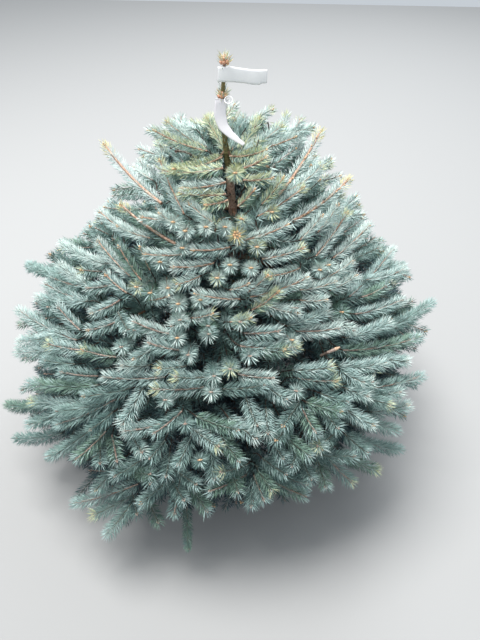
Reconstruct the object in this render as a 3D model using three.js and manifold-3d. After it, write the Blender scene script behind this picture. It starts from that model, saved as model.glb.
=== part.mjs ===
// Potted blue spruce: a young conifer in a plain round nursery pot.
// Millimetres, +Z up. The origin is the centre of the pot's flat underside.
//
// The trunk is one whole tapering stem from its flared foot on the soil to the
// leader's bud. Tiers of boughs leave it, and each bough runs into a fan of
// foliage. The fans of one tier are sectors of the crown, parted by narrow
// radial gaps, and the tiers are parted by gaps that open outwards.
import * as THREE from 'three';
import Module from 'manifold-3d';
import { mergeVertices } from 'three/addons/utils/BufferGeometryUtils.js';

const wasm = await Module();
wasm.setup();

// ---------------------------------------------------------------- sizes
const GAP = 0.3;               // between pieces that touch
const DEG = Math.PI / 180;

const POT_HEIGHT = 250;
const POT_FOOT_RADIUS = 118;   // outside, at the underside
const POT_TOP_RADIUS = 144;    // outside, under the lip
const POT_WALL = 3;
const POT_FLOOR = 4;
const LIP_HEIGHT = 22;
const LIP_REACH = 6;
const DRAIN_COUNT = 6;
const DRAIN_RADIUS = 8;
const DRAIN_PITCH = 84;        // radius of the circle of drain holes

const SOIL_TOP = 238;          // the ground level of the plant
const SOIL_FLAT = 46;          // radius of the flat round the trunk's foot

const TREE_TOP = 1044;         // tip of the leader's bud
const TRUNK_FOOT_RADIUS = 15;
const TRUNK_WHORL_RADIUS = 8;  // at the highest whorl
const WHORL_TOP = 838;         // height of the highest whorl
const LEADER_TIP_RADIUS = 3.2;
const FLARE = 0.85;            // widening of the foot, as a share of the radius
const FLARE_HEIGHT = 30;
const TRUNK_SIDES = 12;
// Sideways drift of the stem, along X, against height; and its sway along Y.
const LEAN = [[238, 0], [420, -3], [550, -6], [690, -14], [800, -23], [850, -30], [900, -35], [950, -37], [1044, -31]];
const TRUNK_SWAY = 4;

// Crown radius against height, at the tips of the furthest shoots.
const PROFILE = [[60, 500], [150, 590], [240, 628], [350, 618], [450, 588],
  [540, 512], [620, 430], [700, 360], [780, 305], [850, 262], [930, 205]];
const FLATTENING = 0.040;      // wider along X than along Y

// Each tier: its boughs leave the trunk at z; its fans fill the space between
// two cones. low and high are those cones' heights at the trunk and their rise
// per unit of radius. inner is where the fans start, enter is how high in the
// fan's thickness its bough comes in, reach scales the outline, and bulge makes
// it fuller towards one azimuth.
const TIERS = [
  { name: 'skirt', z: 286, boughs: 5, turn: 12, low: [264, -0.37], high: [304, -0.165], inner: 172, enter: 0.80, reach: 0.965, bulge: [0.200, 212], fingers: 5 },
  { name: 'lower', z: 326, boughs: 5, turn: 46, low: [304, -0.165], high: [388, -0.080], inner: 104, enter: 0.50, reach: 0.955, bulge: [0.085, 203], fingers: 5 },
  { name: 'middle', z: 425, boughs: 5, turn: 22, low: [388, -0.080], high: [492, 0.005], inner: 92, enter: 0.50, reach: 0.970, bulge: [0.050, 185], fingers: 5 },
  { name: 'upper', z: 545, boughs: 4, turn: 58, low: [492, 0.005], high: [612, 0.060], inner: 76, enter: 0.50, reach: 0.950, bulge: [0.050, 185], fingers: 5 },
  { name: 'shoulder', z: 690, boughs: 4, turn: 10, low: [612, 0.060], high: [760, 0.140], inner: 56, enter: 0.50, reach: 0.930, bulge: [0.020, 0], fingers: 4 },
  { name: 'top', z: 838, boughs: 3, turn: 80, low: [760, 0.140], high: [846, 0.330], inner: 34, enter: 0.55, reach: 0.860, bulge: [0.080, 10], fingers: 4 },
];
const TIER_GAP = 7;            // between the fans of two tiers, near the trunk
const FAN_GAP = 11;            // between two fans of one tier
const FINGER_DEPTH = 0.15;     // notches between the shoots on a fan's rim
const FAN_STEPS = 5;           // rows from a fan's inner face to its rim
const UNEVEN = 0.20;           // how far bumps eat into a fan's thickness
const BOUGH_SIDES = 8;
const BOUGH_STEPS = 3;

const TAG_WHITE = 0xf1f1ee;
const FLAG_LENGTH = 102, FLAG_WIDTH = 29, TAG_THICKNESS = 0.8;
const BAND_WIDTH = 22;

// ---------------------------------------------------------------- colours
const material = (name, color, roughness, metalness = 0) =>
  Object.assign(new THREE.MeshStandardMaterial({ color, roughness, metalness }), { name });
const BARK = 0x7a5a3e, NEEDLE = 0x6f9189, NEEDLE_PALE = 0x93a98f;
const PLASTIC = 0x1b1c1d, SOIL = 0x33261d;

// ---------------------------------------------------------------- helpers
const group = new THREE.Group();

function add(name, geometry, mat) {
  const mesh = new THREE.Mesh(geometry, mat);
  mesh.name = name;
  group.add(mesh);
  return mesh;
}

function lerpTable(table, x) {
  if (x <= table[0][0]) return table[0][1];
  for (let i = 1; i < table.length; i++) {
    if (x <= table[i][0]) {
      const [x0, y0] = table[i - 1], [x1, y1] = table[i];
      return y0 + (y1 - y0) * (x - x0) / (x1 - x0);
    }
  }
  return table[table.length - 1][1];
}

// One repeatable value between -1 and 1 for a pair of counters.
function wobble(a, b) {
  const s = Math.sin(a * 127.1 + b * 311.7 + 17.3) * 43758.5453;
  return 2 * (s - Math.floor(s)) - 1;
}

function solid(points, faces) {
  const g = new THREE.BufferGeometry();
  g.setAttribute('position', new THREE.Float32BufferAttribute(points.flat(), 3));
  g.setIndex(faces.flat());
  return g;
}

// Closed loft through rings of the same number of points, capped at both ends.
function loft(rings) {
  const n = rings[0].length, points = rings.flat(), faces = [];
  for (let k = 0; k + 1 < rings.length; k++) {
    for (let i = 0; i < n; i++) {
      const a = k * n + i, b = k * n + (i + 1) % n, c = a + n, d = b + n;
      faces.push([a, b, d], [a, d, c]);
    }
  }
  for (let i = 1; i + 1 < n; i++) {
    const t = (rings.length - 1) * n;
    faces.push([0, i + 1, i], [t, t + i, t + i + 1]);
  }
  return solid(points, faces);
}

function toManifold(geometry) {
  const g = geometry.clone();
  g.deleteAttribute('normal');
  g.deleteAttribute('uv');
  const m = mergeVertices(g, 1e-4);
  return new wasm.Manifold(new wasm.Mesh({
    numProp: 3,
    vertProperties: new Float32Array(m.attributes.position.array),
    triVerts: new Uint32Array(m.index.array),
  }));
}

function fromManifold(manifold) {
  const mesh = manifold.getMesh(), points = [];
  for (let i = 0; i < mesh.numVert; i++) {
    const k = i * mesh.numProp;
    points.push([mesh.vertProperties[k], mesh.vertProperties[k + 1], mesh.vertProperties[k + 2]]);
  }
  return solid(points, [Array.from(mesh.triVerts)]);
}

// ---------------------------------------------------------------- pot and soil
const potRadius = (z) => POT_FOOT_RADIUS + (POT_TOP_RADIUS - POT_FOOT_RADIUS) * z / POT_HEIGHT;

{
  const lipZ = POT_HEIGHT - LIP_HEIGHT;
  const outline = [
    [0, 0], [POT_FOOT_RADIUS, 0],
    [potRadius(lipZ), lipZ], [potRadius(lipZ) + LIP_REACH, lipZ + 2],
    [potRadius(POT_HEIGHT) + LIP_REACH, POT_HEIGHT - 1.5], [potRadius(POT_HEIGHT) + LIP_REACH - 2, POT_HEIGHT],
    [potRadius(POT_HEIGHT) - POT_WALL, POT_HEIGHT],
    [potRadius(POT_FLOOR) - POT_WALL, POT_FLOOR], [0, POT_FLOOR],
  ].map(([r, z]) => new THREE.Vector2(r, z));
  const shell = new THREE.LatheGeometry(outline, 32).rotateX(Math.PI / 2);
  let pot = toManifold(shell);
  if (pot.volume() < 0) throw new Error('pot is inside out');
  for (let i = 0; i < DRAIN_COUNT; i++) {
    const a = (i + 0.5) / DRAIN_COUNT * 2 * Math.PI;
    const hole = new THREE.CylinderGeometry(DRAIN_RADIUS, DRAIN_RADIUS, 3 * POT_FLOOR, 8).rotateX(Math.PI / 2);
    hole.translate(DRAIN_PITCH * Math.cos(a), DRAIN_PITCH * Math.sin(a), POT_FLOOR / 2);
    pot = pot.subtract(toManifold(hole));
  }
  add('pot', fromManifold(pot), material('pot', PLASTIC, 0.55));

  // The soil fills the pot to a finger's width under the lip.
  const rings = [], n = 24;
  const heights = [POT_FLOOR + GAP, SOIL_TOP - 4];
  for (const z of heights) {
    const r = potRadius(z) - POT_WALL - 2 * GAP;
    rings.push(Array.from({ length: n }, (_, i) => {
      const a = i / n * 2 * Math.PI;
      return [r * Math.cos(a) * 0.995, r * Math.sin(a) * 0.995, z];
    }));
  }
  for (const [share, lift] of [[0.72, -1.5], [0.5, 1]]) {
    const r = potRadius(SOIL_TOP) - POT_WALL;
    rings.push(Array.from({ length: n }, (_, i) => {
      const a = i / n * 2 * Math.PI;
      return [share * r * Math.cos(a), share * r * Math.sin(a), SOIL_TOP + lift - 1 + 1.6 * wobble(i, share * 10)];
    }));
  }
  rings.push(Array.from({ length: n }, (_, i) => {
    const a = i / n * 2 * Math.PI;
    return [SOIL_FLAT * Math.cos(a), SOIL_FLAT * Math.sin(a), SOIL_TOP - GAP];
  }));
  add('soil', loft(rings), material('soil', SOIL, 0.95));
}

// ---------------------------------------------------------------- trunk
// Centre line: upright at the foot, then a slow drift to one side.
function trunkCentre(z) {
  const s = THREE.MathUtils.clamp((z - SOIL_TOP) / (TREE_TOP - SOIL_TOP), 0, 1);
  return [lerpTable(LEAN, z), TRUNK_SWAY * Math.sin(s * 2 * Math.PI)];
}

function trunkRadius(z) {
  if (z > WHORL_TOP) {
    const s = (z - WHORL_TOP) / (TREE_TOP - WHORL_TOP);
    return 0.8 * TRUNK_WHORL_RADIUS + (LEADER_TIP_RADIUS - 0.8 * TRUNK_WHORL_RADIUS) * s;
  }
  const s = (z - SOIL_TOP) / (WHORL_TOP - SOIL_TOP);
  const r = TRUNK_FOOT_RADIUS + (TRUNK_WHORL_RADIUS - TRUNK_FOOT_RADIUS) * s;
  return r * (1 + FLARE * Math.exp(-(z - SOIL_TOP) / FLARE_HEIGHT));
}

function trunkRing(z, squeeze = 1) {
  const [cx, cy] = trunkCentre(z);
  const flare = Math.exp(-(z - SOIL_TOP) / FLARE_HEIGHT);
  return Array.from({ length: TRUNK_SIDES }, (_, i) => {
    const a = i / TRUNK_SIDES * 2 * Math.PI;
    const r = squeeze * trunkRadius(z) * (1 + 0.14 * flare * Math.cos(3 * a + 0.7));
    return [cx + r * Math.cos(a), cy + r * Math.sin(a), z];
  });
}

const trunkGeometry = (() => {
  const rings = [0, 8, 20, 40, 70].map((h) => trunkRing(SOIL_TOP + h));
  for (const z of [420, 550, 690, 800, WHORL_TOP, 850, 900, 950, 1000, 1022]) rings.push(trunkRing(z));
  rings.push(trunkRing(1029, 1.5), trunkRing(1038, 1.3), trunkRing(TREE_TOP, 0.4));
  return loft(rings);
})();
add('trunk', trunkGeometry, material('bark', BARK, 0.85));

// ---------------------------------------------------------------- crown
function crownRadius(tier, z, a) {
  const r = tier.reach * lerpTable(PROFILE, z);
  return r * (1 + tier.bulge[0] * Math.cos(a - tier.bulge[1] * DEG) + FLATTENING * Math.cos(2 * a));
}

// The line that parts fan k from the next one, as an azimuth at radius r.
function parting(t, k, r) {
  const tier = TIERS[t], step = 2 * Math.PI / tier.boughs;
  const jitter = 0.10 * step * wobble(t + 3, k % tier.boughs);
  return tier.turn * DEG + (k + 0.5) * step + jitter
    + 0.05 * Math.sin(r / 95 + 2.1 * (k % tier.boughs) + t);
}

// A fan of foliage: a closed, uneven wedge with a flat inner face across its
// bough, and a notched rim that ends in one point for each leading shoot.
function fan(t, k) {
  const tier = TIERS[t], step = 2 * Math.PI / tier.boughs;
  const mid = tier.turn * DEG + k * step;
  const [cx, cy] = trunkCentre(tier.z);
  const across = 2 * tier.fingers;
  const top = [], bottom = [], points = [], faces = [];
  for (let v = 0; v <= FAN_STEPS; v++) {
    const s = v / FAN_STEPS, rowTop = [], rowBottom = [];
    for (let u = 0; u <= across; u++) {
      const w = u / across, tip = u % 2 === 1;
      // the fan's outline at this azimuth
      const guess = mid + (w - 0.5) * step;
      const inner = tier.inner / Math.cos((w - 0.5) * step * 0.9);
      const zRim = (tier.low[0] + tier.high[0]) / 2 + (tier.low[1] + tier.high[1]) / 2 * lerpTable(PROFILE, tier.z);
      let outer = crownRadius(tier, zRim, guess);
      outer *= tip ? 1 - 0.030 * (1 + wobble(10 * t + k, u)) : 1 - FINGER_DEPTH * (1 + 0.35 * wobble(20 * t + k, u));
      if (u === 0 || u === across) outer *= 0.96;
      const r = inner + (outer - inner) * Math.pow(s, 0.9);
      // azimuth between the two partings, each kept back by half the gap
      const a0 = parting(t, k - 1 + tier.boughs, r) - 2 * Math.PI;
      const a1 = parting(t, k, r);
      const low = a0 - 2 * Math.PI * Math.round((a0 - mid + step / 2) / (2 * Math.PI)) + 0.5 * FAN_GAP / r;
      const high = a1 - 2 * Math.PI * Math.round((a1 - mid - step / 2) / (2 * Math.PI)) - 0.5 * FAN_GAP / r;
      const a = low + (high - low) * w;
      // flat inner face: rescale the first row onto one plane across the bough
      const rr = v === 0 ? tier.inner / Math.cos(a - mid) : Math.max(r, tier.inner / Math.cos(a - mid) + 4);
      // heights between the tier's two cones, thinning to the rim and the sides
      const zLow = tier.low[0] + tier.low[1] * rr + TIER_GAP / 2 * (1 + 0.5 * s);
      const zHigh = tier.high[0] + tier.high[1] * rr - TIER_GAP / 2 * (1 + 0.5 * s);
      const middle = (zLow + zHigh) / 2 + (t === 0 ? 0.10 : 0) * (zHigh - zLow) * (1 - s);
      const half = (zHigh - zLow) / 2;
      const side = 0.60 + 0.40 * Math.pow(Math.sin(Math.PI * THREE.MathUtils.clamp(w, 0.001, 0.999)), 0.5);
      const thin = v === FAN_STEPS ? 0 : Math.pow(1 - Math.pow(s, 6), 0.6);
      const start = v === 0 ? 0.62 : 1;
      const bumpT = 1 - UNEVEN * (0.5 + 0.5 * wobble(31 * t + 7 * k + v, u)) * (tip ? 0.4 : 1);
      const bumpB = 1 - UNEVEN * (0.5 + 0.5 * wobble(57 * t + 11 * k + v, u + 40)) * (tip ? 0.4 : 1);
      const tilt = v === FAN_STEPS ? (tip ? 0.85 : 0.4) * half * wobble(5 * t + k, 3 * u) : 0;
      const x = cx + rr * Math.cos(a), y = cy + rr * Math.sin(a);
      rowTop.push([x, y, middle + half * side * thin * start * bumpT + tilt]);
      rowBottom.push([x, y, middle - half * side * thin * start * bumpB + tilt]);
    }
    top.push(rowTop);
    bottom.push(rowBottom);
  }
  const n = across + 1, count = (FAN_STEPS + 1) * n;
  for (const row of top) points.push(...row);
  for (const row of bottom) points.push(...row);
  const T = (v, u) => v * n + u;
  const B = (v, u) => v === FAN_STEPS ? T(v, u) : count + v * n + u;
  const tri = (a, b, c) => { if (a !== b && b !== c && a !== c) faces.push([a, b, c]); };
  for (let v = 0; v < FAN_STEPS; v++) {
    for (let u = 0; u < across; u++) {
      tri(T(v, u), T(v + 1, u), T(v + 1, u + 1)); tri(T(v, u), T(v + 1, u + 1), T(v, u + 1));
      tri(B(v, u), B(v + 1, u + 1), B(v + 1, u)); tri(B(v, u), B(v, u + 1), B(v + 1, u + 1));
    }
    tri(T(v, 0), B(v, 0), B(v + 1, 0)); tri(T(v, 0), B(v + 1, 0), T(v + 1, 0));
    tri(T(v, across), B(v + 1, across), B(v, across)); tri(T(v, across), T(v + 1, across), B(v + 1, across));
  }
  for (let u = 0; u < across; u++) {
    tri(T(0, u), T(0, u + 1), B(0, u + 1)); tri(T(0, u), B(0, u + 1), B(0, u));
  }
  return { geometry: mergeVertices(solid(points, faces), 1e-4), mid };
}

// A bough: one tapering limb from the trunk's bark to its fan's inner face.
function bough(t, mid) {
  const tier = TIERS[t], dir = [Math.cos(mid), Math.sin(mid)];
  const [cx, cy] = trunkCentre(tier.z);
  const start = trunkRadius(tier.z - 10) * 1.02 + GAP;
  const end = tier.inner - GAP;
  const zEnd = (tier.low[0] + tier.low[1] * tier.inner) * (1 - tier.enter) + (tier.high[0] + tier.high[1] * tier.inner) * tier.enter;
  const r0 = 0.50 * trunkRadius(tier.z + 20), r1 = 0.36 * trunkRadius(tier.z + 20) + 0.4;
  const rings = [];
  for (let i = 0; i <= BOUGH_STEPS; i++) {
    const s = i / BOUGH_STEPS, d = start + (end - start) * s;
    const z = tier.z + (zEnd - tier.z) * Math.sin(s * Math.PI / 2);
    const r = (r0 + (r1 - r0) * s) * (i === 0 ? 1.25 : 1);
    rings.push(Array.from({ length: BOUGH_SIDES }, (_, j) => {
      const b = j / BOUGH_SIDES * 2 * Math.PI;
      const o = r * Math.cos(b);
      return [cx + d * dir[0] - o * dir[1], cy + d * dir[1] + o * dir[0], z + r * Math.sin(b)];
    }));
  }
  return loft(rings);
}

TIERS.forEach((tier, t) => {
  for (let k = 0; k < tier.boughs; k++) {
    const { geometry, mid } = fan(t, k);
    add(`foliage_${tier.name}_${k + 1}`, geometry,
      material('needles', t > 3 ? NEEDLE_PALE : NEEDLE, 0.8));
    add(`bough_${tier.name}_${k + 1}`, bough(t, mid), material('bark', BARK, 0.85));
  }
});

// ---------------------------------------------------------------- leader tufts
// Short needles and side buds round the leader, cut round the stem inside them.
function tuft(name, z0, z1, radius, spikes) {
  const n = 2 * spikes, rings = [];
  for (const [s, share] of [[0, 0.35], [0.35, 0.8], [0.7, 1], [1, 0.75]]) {
    const z = z0 + (z1 - z0) * s, [cx, cy] = trunkCentre(z);
    rings.push(Array.from({ length: n }, (_, i) => {
      const a = (i + 0.5) / n * 2 * Math.PI, tip = i % 2 === 0;
      const r = Math.max(radius * share * (tip ? 1 : 0.72), trunkRadius(z) * 1.9 + 1.5);
      return [cx + r * Math.cos(a), cy + r * Math.sin(a), z + (tip ? 4 * s : 0)];
    }));
  }
  const body = toManifold(loft(rings));
  const core = [];
  for (let i = 0; i <= 6; i++) {
    const z = z0 - 4 + (Math.min(z1 + 4, TREE_TOP + 1) - z0 + 4) * i / 6, [cx, cy] = trunkCentre(z);
    const r = (z1 > TREE_TOP ? 1.55 : 1.05) * trunkRadius(z) + 2 * GAP;
    core.push(Array.from({ length: TRUNK_SIDES }, (_, j) => {
      const a = j / TRUNK_SIDES * 2 * Math.PI;
      return [cx + r * Math.cos(a), cy + r * Math.sin(a), z];
    }));
  }
  return add(name, fromManifold(body.subtract(toManifold(loft(core)))), material('needles', NEEDLE_PALE, 0.8));
}
tuft('foliage_leader_tip', 1021, 1056, 20, 6);
tuft('foliage_leader_buds', 952, 984, 18, 6);

// ---------------------------------------------------------------- plant label
// A blank weatherproof label: a stiff flag beside the leader, and its band,
// which wraps the stem lower down and trails across the highest whorl.
function sheetAlong(path, width, widthDir) {
  const rings = path.map((p, i) => {
    const a = path[Math.max(i - 1, 0)], b = path[Math.min(i + 1, path.length - 1)];
    const run = new THREE.Vector3().subVectors(b, a).normalize();
    const w = widthDir(i).clone().addScaledVector(run, -run.dot(widthDir(i))).normalize();
    const n = new THREE.Vector3().crossVectors(run, w).multiplyScalar(TAG_THICKNESS / 2);
    const h = w.multiplyScalar(width(i) / 2);
    return [[1, 1], [-1, 1], [-1, -1], [1, -1]].map(([sw, sn]) =>
      p.clone().addScaledVector(h, sw).addScaledVector(n, sn).toArray());
  });
  const flat = loft(rings);
  if (toManifold(flat).volume() > 0) return flat;
  return loft(rings.map((r) => [...r].reverse()));
}

{
  const [fx, fy] = trunkCentre(1003);
  const front = fy - trunkRadius(1003) - 2;
  const flag = Array.from({ length: 7 }, (_, i) => {
    const s = i / 6;
    return new THREE.Vector3(fx - 12 + FLAG_LENGTH * s, front - 2.5 * Math.sin(Math.PI * s), 1003 - 2 * s + 1.2 * Math.sin(2 * Math.PI * s));
  });
  add('label_flag', sheetAlong(flag, () => FLAG_WIDTH, () => new THREE.Vector3(0, 0.1, 1)), material('label', TAG_WHITE, 0.5));

  const band = [];
  const marks = [[950, -2], [924, -6], [902, 0], [886, 17], [871, 44]];
  for (let i = 0; i <= 8; i++) {
    const s = i / 8 * (marks.length - 1), j = Math.min(Math.floor(s), marks.length - 2), f = s - j;
    const z = marks[j][0] + (marks[j + 1][0] - marks[j][0]) * f;
    const x = marks[j][1] + (marks[j + 1][1] - marks[j][1]) * f;
    const [cx, cy] = trunkCentre(z);
    band.push(new THREE.Vector3(cx + x, cy - trunkRadius(z) - 4 - 30 * Math.pow(i / 8, 2), z));
  }
  add('label_band', sheetAlong(band, (i) => BAND_WIDTH * (i < 6 ? 1 : 1 - 0.3 * (i - 5)), () => new THREE.Vector3(1, 0, 0.2)), material('label', TAG_WHITE, 0.5));
}

export default group;
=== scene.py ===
"""Potted blue spruce: limbs, shoots, needles, buds, bark, pot, soil and blank label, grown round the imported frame.

Sizes inside this file are millimetres until a mesh is made, which is in metres.
"""
import math

import bpy
import numpy as np
from mathutils import Matrix, Vector
from mathutils.kdtree import KDTree


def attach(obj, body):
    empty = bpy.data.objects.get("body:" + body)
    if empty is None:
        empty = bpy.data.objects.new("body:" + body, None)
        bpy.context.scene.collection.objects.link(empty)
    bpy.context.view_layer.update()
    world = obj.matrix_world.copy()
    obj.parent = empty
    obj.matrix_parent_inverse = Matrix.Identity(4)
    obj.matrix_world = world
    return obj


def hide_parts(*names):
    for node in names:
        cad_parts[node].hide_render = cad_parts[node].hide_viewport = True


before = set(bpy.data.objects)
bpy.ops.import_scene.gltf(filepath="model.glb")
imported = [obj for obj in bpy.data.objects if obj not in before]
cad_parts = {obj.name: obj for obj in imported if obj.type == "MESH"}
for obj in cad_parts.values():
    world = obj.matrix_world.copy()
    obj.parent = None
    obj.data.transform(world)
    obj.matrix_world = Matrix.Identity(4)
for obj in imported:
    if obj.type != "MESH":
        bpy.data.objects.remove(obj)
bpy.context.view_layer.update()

RNG = np.random.default_rng(70531)

# ------------------------------------------------------------------ sizes, as in the CAD
SOIL_TOP, TREE_TOP, WHORL_TOP = 238.0, 1044.0, 838.0
FOOT_R, WHORL_R, LEADER_R = 15.0, 8.0, 3.2
FLARE, FLARE_H, SWAY = 0.85, 30.0, 4.0
LEAN = [(238, 0), (420, -3), (550, -6), (690, -14), (800, -23), (850, -30), (900, -35), (950, -37), (1044, -31)]
PROFILE = [(60, 500), (150, 590), (240, 628), (350, 618), (450, 588), (540, 512), (620, 430), (700, 360), (780, 305), (850, 262), (930, 205)]
FLATTENING = 0.040
TIERS = [
    dict(name="skirt", z=286, boughs=5, turn=12, low=(264, -0.37), high=(304, -0.165), inner=172, enter=0.80, reach=0.965, bulge=(0.200, 212), fingers=5),
    dict(name="lower", z=326, boughs=5, turn=46, low=(304, -0.165), high=(388, -0.080), inner=104, enter=0.50, reach=0.955, bulge=(0.085, 203), fingers=5),
    dict(name="middle", z=425, boughs=5, turn=22, low=(388, -0.080), high=(492, 0.005), inner=92, enter=0.50, reach=0.970, bulge=(0.050, 185), fingers=5),
    dict(name="upper", z=545, boughs=4, turn=58, low=(492, 0.005), high=(612, 0.060), inner=76, enter=0.50, reach=0.950, bulge=(0.050, 185), fingers=5),
    dict(name="shoulder", z=690, boughs=4, turn=10, low=(612, 0.060), high=(760, 0.140), inner=56, enter=0.50, reach=0.930, bulge=(0.020, 0), fingers=4),
    dict(name="top", z=838, boughs=3, turn=80, low=(760, 0.140), high=(846, 0.330), inner=34, enter=0.55, reach=0.860, bulge=(0.080, 10), fingers=4),
]
# how each tier's shoots grow: rise of a side shoot from its limb, upward curve, length, share of yellow in the green
HABIT = dict(
    skirt=dict(rise=-4, curve=-0.10, length=88, warm=0.05),
    lower=dict(rise=2, curve=0.02, length=92, warm=0.08),
    middle=dict(rise=8, curve=0.12, length=92, warm=0.10),
    upper=dict(rise=12, curve=0.20, length=92, warm=0.15),
    shoulder=dict(rise=16, curve=0.28, length=88, warm=0.30),
    top=dict(rise=20, curve=0.30, length=84, warm=0.55),
)
GOLDEN = math.pi * (3 - math.sqrt(5))
UP = np.array([0.0, 0.0, 1.0])

# ------------------------------------------------------------------ camera of the photograph
CAM = np.array([10.0, -1150.0, 1350.0])
PITCH, ROLL, FOCAL, CX, CY = math.radians(42.0), math.radians(1.1), 522.0, 240.0, 320.0
FWD = np.array([0.0, math.cos(PITCH), -math.sin(PITCH)])
_R, _U = np.array([1.0, 0, 0]), np.array([0.0, math.sin(PITCH), math.cos(PITCH)])
CAM_R = _R * math.cos(ROLL) + _U * math.sin(ROLL)
CAM_U = -_R * math.sin(ROLL) + _U * math.cos(ROLL)


def project(p):
    v = np.atleast_2d(p) - CAM
    d = v @ FWD
    return np.stack([CX + FOCAL * (v @ CAM_R) / d, CY - FOCAL * (v @ CAM_U) / d], 1), d


def ray(px, py):
    d = (px - CX) / FOCAL * CAM_R - (py - CY) / FOCAL * CAM_U + FWD
    return d / np.linalg.norm(d)


# ------------------------------------------------------------------ the CAD's own rules
def table(rows, x):
    xs, ys = zip(*rows)
    return np.interp(x, xs, ys)


def wobble(a, b):
    s = math.sin(a * 127.1 + b * 311.7 + 17.3) * 43758.5453
    return 2 * (s - math.floor(s)) - 1


def trunk_centre(z):
    s = min(max((z - SOIL_TOP) / (TREE_TOP - SOIL_TOP), 0.0), 1.0)
    return np.array([float(table(LEAN, z)), SWAY * math.sin(s * 2 * math.pi)])


def trunk_radius(z):
    if z > WHORL_TOP:
        s = (z - WHORL_TOP) / (TREE_TOP - WHORL_TOP)
        return 0.8 * WHORL_R + (LEADER_R - 0.8 * WHORL_R) * s
    s = (z - SOIL_TOP) / (WHORL_TOP - SOIL_TOP)
    return (FOOT_R + (WHORL_R - FOOT_R) * s) * (1 + FLARE * math.exp(-(z - SOIL_TOP) / FLARE_H))


def crown_radius(tier, z, a):
    return tier["reach"] * table(PROFILE, z) * (1 + tier["bulge"][0] * np.cos(a - math.radians(tier["bulge"][1])) + FLATTENING * np.cos(2 * a))


def parting(t, k, r):
    tier = TIERS[t]
    step = 2 * math.pi / tier["boughs"]
    kk = k % tier["boughs"]
    return math.radians(tier["turn"]) + (k + 0.5) * step + 0.10 * step * wobble(t + 3, kk) + 0.05 * math.sin(r / 95 + 2.1 * kk + t)


RIM_Z = [215, 345, 490, 640, 800]


def envelope(z, a):
    """Radius of the whole crown at a height and azimuth."""
    t = sum(z > e for e in RIM_Z)
    return crown_radius(TIERS[t], z, a)


def tier_at(z):
    return sum(z > e for e in RIM_Z)


def slab(t, r):
    tier = TIERS[t]
    return tier["low"][0] + tier["low"][1] * r, tier["high"][0] + tier["high"][1] * r


def smooth(x):
    x = min(max(x, 0.0), 1.0)
    return x * x * (3 - 2 * x)


def unit(v):
    v = np.asarray(v, float)
    n = np.linalg.norm(v, axis=-1, keepdims=True)
    return v / np.where(n < 1e-9, 1, n)


# ------------------------------------------------------------------ limbs and shoots
LIMBS = []     # dict(pts, r0, r1, tier)  woody, bark relief
SHOOTS = []    # dict(pts, ...)           needle-bearing
AXES = []      # points of leading limbs, where other shoots may start


def bend(base, direction, length, lift=0.0, side=0.0, n=8):
    """Polyline of a shoot: leaves along direction, and curves towards the sky by lift."""
    d = unit(direction)
    across = unit(np.cross(d, UP))
    pts = [np.array(base, float)]
    for i in range(n):
        s = (i + 0.5) / n
        step = unit(d + UP * lift * s + across * side * s)
        pts.append(pts[-1] + step * length / n)
    return np.array(pts)


def shoot(pts, tier, r0=2.4, r1=1.7, order=2, bare=0.0, tip=True, warm=None, needle=1.0, fixed=False, dense=1.0):
    SHOOTS.append(dict(pts=np.asarray(pts, float), tier=tier, r0=r0, r1=r1, order=order, bare=bare, tip=tip, warm=warm, needle=needle, fixed=fixed, dense=dense))
    return SHOOTS[-1]


def length_of(pts):
    return float(np.linalg.norm(np.diff(pts, axis=0), axis=1).sum())


def resample(pts, n):
    pts = np.asarray(pts, float)
    seg = np.linalg.norm(np.diff(pts, axis=0), axis=1)
    s = np.concatenate([[0], np.cumsum(seg)])
    q = np.linspace(0, s[-1], n)
    return np.stack([np.interp(q, s, pts[:, i]) for i in range(3)], 1)


def inside(p, t, k, slack=0.0):
    """How well a point fits its own fan: outline, partings and the tier's height."""
    c = trunk_centre(TIERS[t]["z"])
    x, y = p[0] - c[0], p[1] - c[1]
    r, a = math.hypot(x, y), math.atan2(y, x)
    z_rim = sum(slab(t, float(table(PROFILE, TIERS[t]["z"])))) / 2
    if r > crown_radius(TIERS[t], z_rim, a) * 0.985 + slack:
        return False
    lo, hi = slab(t, r)
    if not lo - 16 - slack < p[2] < hi + 22 + slack:
        return False
    mid = math.radians(TIERS[t]["turn"]) + k * 2 * math.pi / TIERS[t]["boughs"]
    a0, a1 = parting(t, k - 1, r), parting(t, k, r)
    da = (a - mid + math.pi) % (2 * math.pi) - math.pi
    over = 26 / max(r, 60)
    return a0 - mid - over < da < a1 - mid + over


def fit(base, direction, length, lift, side, t, k, shortest=34.0):
    """A shoot, shortened until its end stays in its fan; None if it can't."""
    for _ in range(6):
        pts = bend(base, direction, length, lift, side)
        if inside(pts[-1], t, k):
            return pts
        length *= 0.86
        if length < shortest:
            return None
    return None


def frame_at(pts, s):
    i = min(int(s * (len(pts) - 1)), len(pts) - 2)
    f = s * (len(pts) - 1) - i
    p = pts[i] * (1 - f) + pts[i + 1] * f
    tangent = unit(pts[i + 1] - pts[i])
    side = unit(np.cross(tangent, UP))
    return p, tangent, side, np.cross(side, tangent)


def side_shoot(p, tangent, side, up, sign, angle, roll):
    a, b = math.radians(angle), math.radians(roll)
    return math.cos(a) * tangent + math.sin(a) * (math.cos(b) * sign * side + math.sin(b) * up)


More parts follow.
